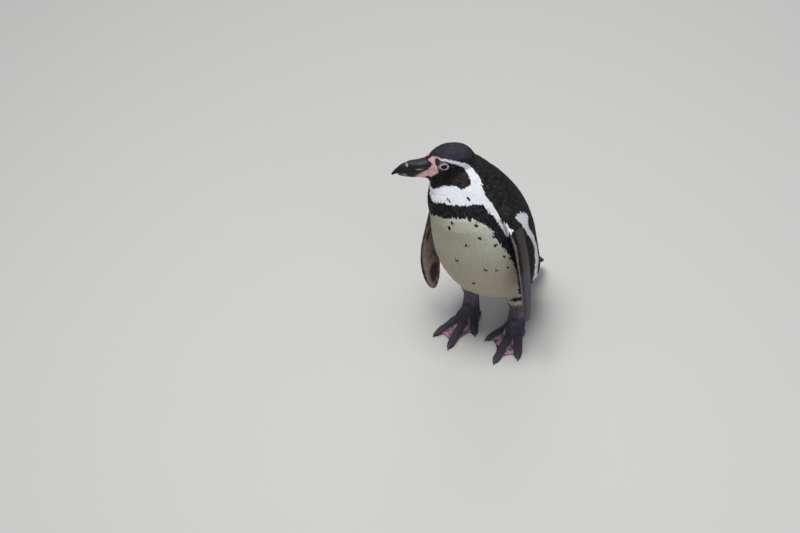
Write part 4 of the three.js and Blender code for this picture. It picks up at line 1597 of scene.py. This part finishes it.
def vane_group():
    """Barbs that slant back from the shaft, the shaft itself, and the blade's worn end."""
    inputs = {"Vane": None, "Barbs": 26.0, "Slant": 0.8}
    tree, start, end = new_group("feather_vane", inputs, ["Barb", "Shaft", "End"])
    split = tree.nodes.new("ShaderNodeSeparateXYZ")
    tree.links.new(start.outputs["Vane"], split.inputs[0])
    off = maths(tree, "ABSOLUTE", maths(tree, "SUBTRACT", split.outputs[0], 0.5))
    slant = maths(tree, "MULTIPLY", off, start.outputs["Slant"])
    place = maths(tree, "SUBTRACT", split.outputs[1], slant)
    wave = maths(tree, "SINE", maths(tree, "MULTIPLY", place, maths(
        tree, "MULTIPLY", start.outputs["Barbs"], 2 * math.pi)))
    barb = maths(tree, "MULTIPLY_ADD", wave, 0.5, 0.5)
    shaft = maths(tree, "SUBTRACT", 1.0, maths(tree, "MULTIPLY", off, 14.0), clamp=True)
    worn = maths(tree, "MULTIPLY_ADD", split.outputs[1], 4.0, -3.0, clamp=True)
    tree.links.new(barb, end.inputs["Barb"])
    tree.links.new(shaft, end.inputs["Shaft"])
    tree.links.new(worn, end.inputs["End"])
    return tree


def hide_group():
    """Fine cracked skin: a cell pattern and soft pores, as a height and a mask."""
    inputs = {"Place": None, "Cells": 900.0, "Pores": 2400.0}
    tree, start, end = new_group("hide_grain", inputs, ["Height", "Mottle"])
    cells = tree.nodes.new("ShaderNodeTexVoronoi")
    cells.feature = "DISTANCE_TO_EDGE"
    tree.links.new(start.outputs["Place"], cells.inputs["Vector"])
    tree.links.new(start.outputs["Cells"], cells.inputs["Scale"])
    pores = tree.nodes.new("ShaderNodeTexNoise")
    tree.links.new(start.outputs["Place"], pores.inputs["Vector"])
    tree.links.new(start.outputs["Pores"], pores.inputs["Scale"])
    low = tree.nodes.new("ShaderNodeTexNoise")
    low.inputs["Scale"].default_value = 160
    low.inputs["Detail"].default_value = 4
    tree.links.new(start.outputs["Place"], low.inputs["Vector"])
    rim = maths(tree, "MULTIPLY", cells.outputs["Distance"], 3.0, clamp=True)
    height = maths(tree, "MULTIPLY_ADD", pores.outputs["Fac"], 0.35, rim)
    tree.links.new(height, end.inputs["Height"])
    tree.links.new(low.outputs["Fac"], end.inputs["Mottle"])
    return tree


VANE = vane_group()
HIDE = hide_group()

BLACK = (0, 0, 0, 1)
WORN_END = (0.5, 0.48, 0.45, 1)
SKIN_DEEP = (0.02, 0.012, 0.015, 1)
HORN_DEEP = (0.01, 0.01, 0.012, 1)
PUPIL_BLACK = (0.004, 0.003, 0.003, 1)
IRIS_BROWN = (0.03, 0.01, 0.007, 1)
BALL_DARK = (0.02, 0.012, 0.012, 1)
CLAW_DARK = (0.012, 0.011, 0.012, 1)
CLAW_PALE = (0.04, 0.036, 0.036, 1)


def material(name, roughness, specular=0.5):
    made = bpy.data.materials.new(name)
    made.use_nodes = True
    shader = made.node_tree.nodes["Principled BSDF"]
    shader.inputs["Roughness"].default_value = roughness
    shader.inputs["Specular IOR Level"].default_value = specular
    return made, made.node_tree, shader


def add_group(tree, group):
    node = tree.nodes.new("ShaderNodeGroup")
    node.node_tree = group
    return node


def stored(tree, name, output):
    """A value or colour that is kept on the piece's own vertices."""
    node = tree.nodes.new("ShaderNodeAttribute")
    node.attribute_name = name
    return node.outputs[output]


def hide_on(tree, cells=900.0, pores=2400.0):
    """The grain of skin and horn, laid by the piece's own coordinates."""
    where = tree.nodes.new("ShaderNodeTexCoord")
    grain = add_group(tree, HIDE)
    grain.inputs["Cells"].default_value = cells
    grain.inputs["Pores"].default_value = pores
    tree.links.new(where.outputs["Object"], grain.inputs["Place"])
    return grain.outputs


def blend_colour(tree, share, first, second, mode="MIX"):
    node = tree.nodes.new("ShaderNodeMix")
    node.data_type = "RGBA"
    node.blend_type = mode
    for socket, value in ((node.inputs[0], share), (node.inputs[6], first), (node.inputs[7], second)):
        if isinstance(value, bpy.types.NodeSocket):
            tree.links.new(value, socket)
        else:
            socket.default_value = value
    return node.outputs[2]


def add_bump(tree, shader, height, strength, distance):
    bump = tree.nodes.new("ShaderNodeBump")
    bump.inputs["Strength"].default_value = strength
    bump.inputs["Distance"].default_value = distance * MM
    tree.links.new(height, bump.inputs["Height"])
    tree.links.new(bump.outputs[0], shader.inputs["Normal"])


def feather_finish(name, roughness, barbs, end_light):
    """Feathers: darker between the barbs, a fine shaft, and a lighter worn end."""
    made, tree, shader = material(name, roughness, specular=0.1)
    vane = tree.nodes.new("ShaderNodeUVMap")
    vane.uv_map = "vane"
    pattern = add_group(tree, VANE)
    pattern.inputs["Barbs"].default_value = barbs
    tree.links.new(vane.outputs[0], pattern.inputs["Vane"])
    tint = stored(tree, "tint", "Color")
    shade = blend_colour(tree, 0.16, tint, BLACK)
    base = blend_colour(tree, pattern.outputs["Barb"], shade, tint)
    lift = blend_colour(tree, end_light, tint, WORN_END)
    base = blend_colour(tree, pattern.outputs["End"], base, lift)
    tree.links.new(base, shader.inputs["Base Color"])
    add_bump(tree, shader, pattern.outputs["Barb"], strength=0.25, distance=0.12)
    return made


def skin_finish():
    """Bare skin: its own colour, deeper in soft blotches, with fine cells and pores."""
    made, tree, shader = material("bare_skin", roughness=0.5, specular=0.4)
    grain = hide_on(tree)
    tint = stored(tree, "tint", "Color")
    deep = blend_colour(tree, 0.35, tint, SKIN_DEEP)
    base = blend_colour(tree, grain["Mottle"], deep, tint)
    tree.links.new(base, shader.inputs["Base Color"])
    add_bump(tree, shader, grain["Height"], strength=0.6, distance=0.25)
    return made


def horn_finish():
    """Horn: its own colour with faint streaks and scratches."""
    made, tree, shader = material("bill_horn", roughness=0.46, specular=0.28)
    grain = hide_on(tree, cells=260, pores=1500)
    tint = stored(tree, "tint", "Color")
    deep = blend_colour(tree, 0.15, tint, HORN_DEEP)
    base = blend_colour(tree, grain["Mottle"], deep, tint)
    tree.links.new(base, shader.inputs["Base Color"])
    add_bump(tree, shader, grain["Mottle"], strength=0.15, distance=0.2)
    return made


def eye_finish():
    """A dark red-brown iris round a black pupil, under a wet gloss."""
    made, tree, shader = material("wet_eye", roughness=0.1, specular=0.1)
    ring = stored(tree, "ring", "Fac")
    past_pupil = maths(tree, "MULTIPLY_ADD", ring, 1.6, -PUPIL * 1.6, clamp=True)
    past_iris = maths(tree, "MULTIPLY_ADD", ring, 1.4, -IRIS * 1.4, clamp=True)
    colour = blend_colour(tree, past_pupil, PUPIL_BLACK, IRIS_BROWN)
    colour = blend_colour(tree, past_iris, colour, BALL_DARK)
    tree.links.new(colour, shader.inputs["Base Color"])
    shader.inputs["Coat Weight"].default_value = 0.12
    shader.inputs["Coat Roughness"].default_value = 0.04
    return made


def claw_finish():
    """Near-black horn, a little paler in blotches."""
    made, tree, shader = material("claw", roughness=0.38)
    grain = hide_on(tree, cells=400)
    base = blend_colour(tree, grain["Mottle"], CLAW_DARK, CLAW_PALE)
    tree.links.new(base, shader.inputs["Base Color"])
    add_bump(tree, shader, grain["Mottle"], strength=0.3, distance=0.2)
    return made


BODY_FEATHER = feather_finish("body_feather", roughness=0.6, barbs=7, end_light=0.04)
FLIPPER_FEATHER = feather_finish("flipper_feather", roughness=0.5, barbs=4, end_light=0.03)
QUILL = feather_finish("tail_quill", roughness=0.5, barbs=60, end_light=0.06)
SCALE = feather_finish("foot_scale", roughness=0.42, barbs=1, end_light=0.02)
BARE_SKIN = skin_finish()
HORN = horn_finish()
WET_EYE = eye_finish()
CLAW = claw_finish()


def finish_piece(piece, made, slot, *nodes):
    piece.data.materials.clear()
    piece.data.materials.append(made)
    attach(piece, "root")
    if nodes:
        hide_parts(*nodes)


# How each coat piece is finished, by how its name starts. The first that fits holds.
COAT_FINISHES = [
    ("foot_scales", SCALE, "foot_skin"), ("coat_flipper", FLIPPER_FEATHER, "plumage"),
    ("tail_quills", QUILL, "plumage"), ("coat", BODY_FEATHER, "plumage"),
]

finish_piece(skin, BARE_SKIN, "plumage", *FLESH)
for piece in coat:
    made, slot = next(row[1:] for row in COAT_FINISHES if piece.name.startswith(row[0]))
    finish_piece(piece, made, slot)
finish_piece(bill_upper, HORN, "bill_horn", "bill_upper")
finish_piece(bill_lower, HORN, "bill_horn", "bill_lower")
for side in EYES:
    finish_piece(eyeball(side), WET_EYE, "eye_gloss", "eye_" + side)
for node in sorted(frame["nodes"]):
    if node.startswith("claw_"):
        finish_piece(claw(node), CLAW, "claw_horn", node)

# ---- floor ----------------------------------------------------------------------------------
FLOOR_WIDTH = 6
FLOOR_DROP = 0.0002  # keeps the soles and the floor from lying in one plane
FLOOR_TONE = (0.56, 0.56, 0.555, 1)
select_only(skin)
bpy.ops.mesh.primitive_plane_add(size=FLOOR_WIDTH, location=(0, 0, -FLOOR_DROP))
floor = bpy.context.object
floor.name = "floor"
pale, _, floor_shader = material("pale_floor", roughness=0.9, specular=0.2)
floor_shader.inputs["Base Color"].default_value = FLOOR_TONE
floor.data.materials.append(pale)
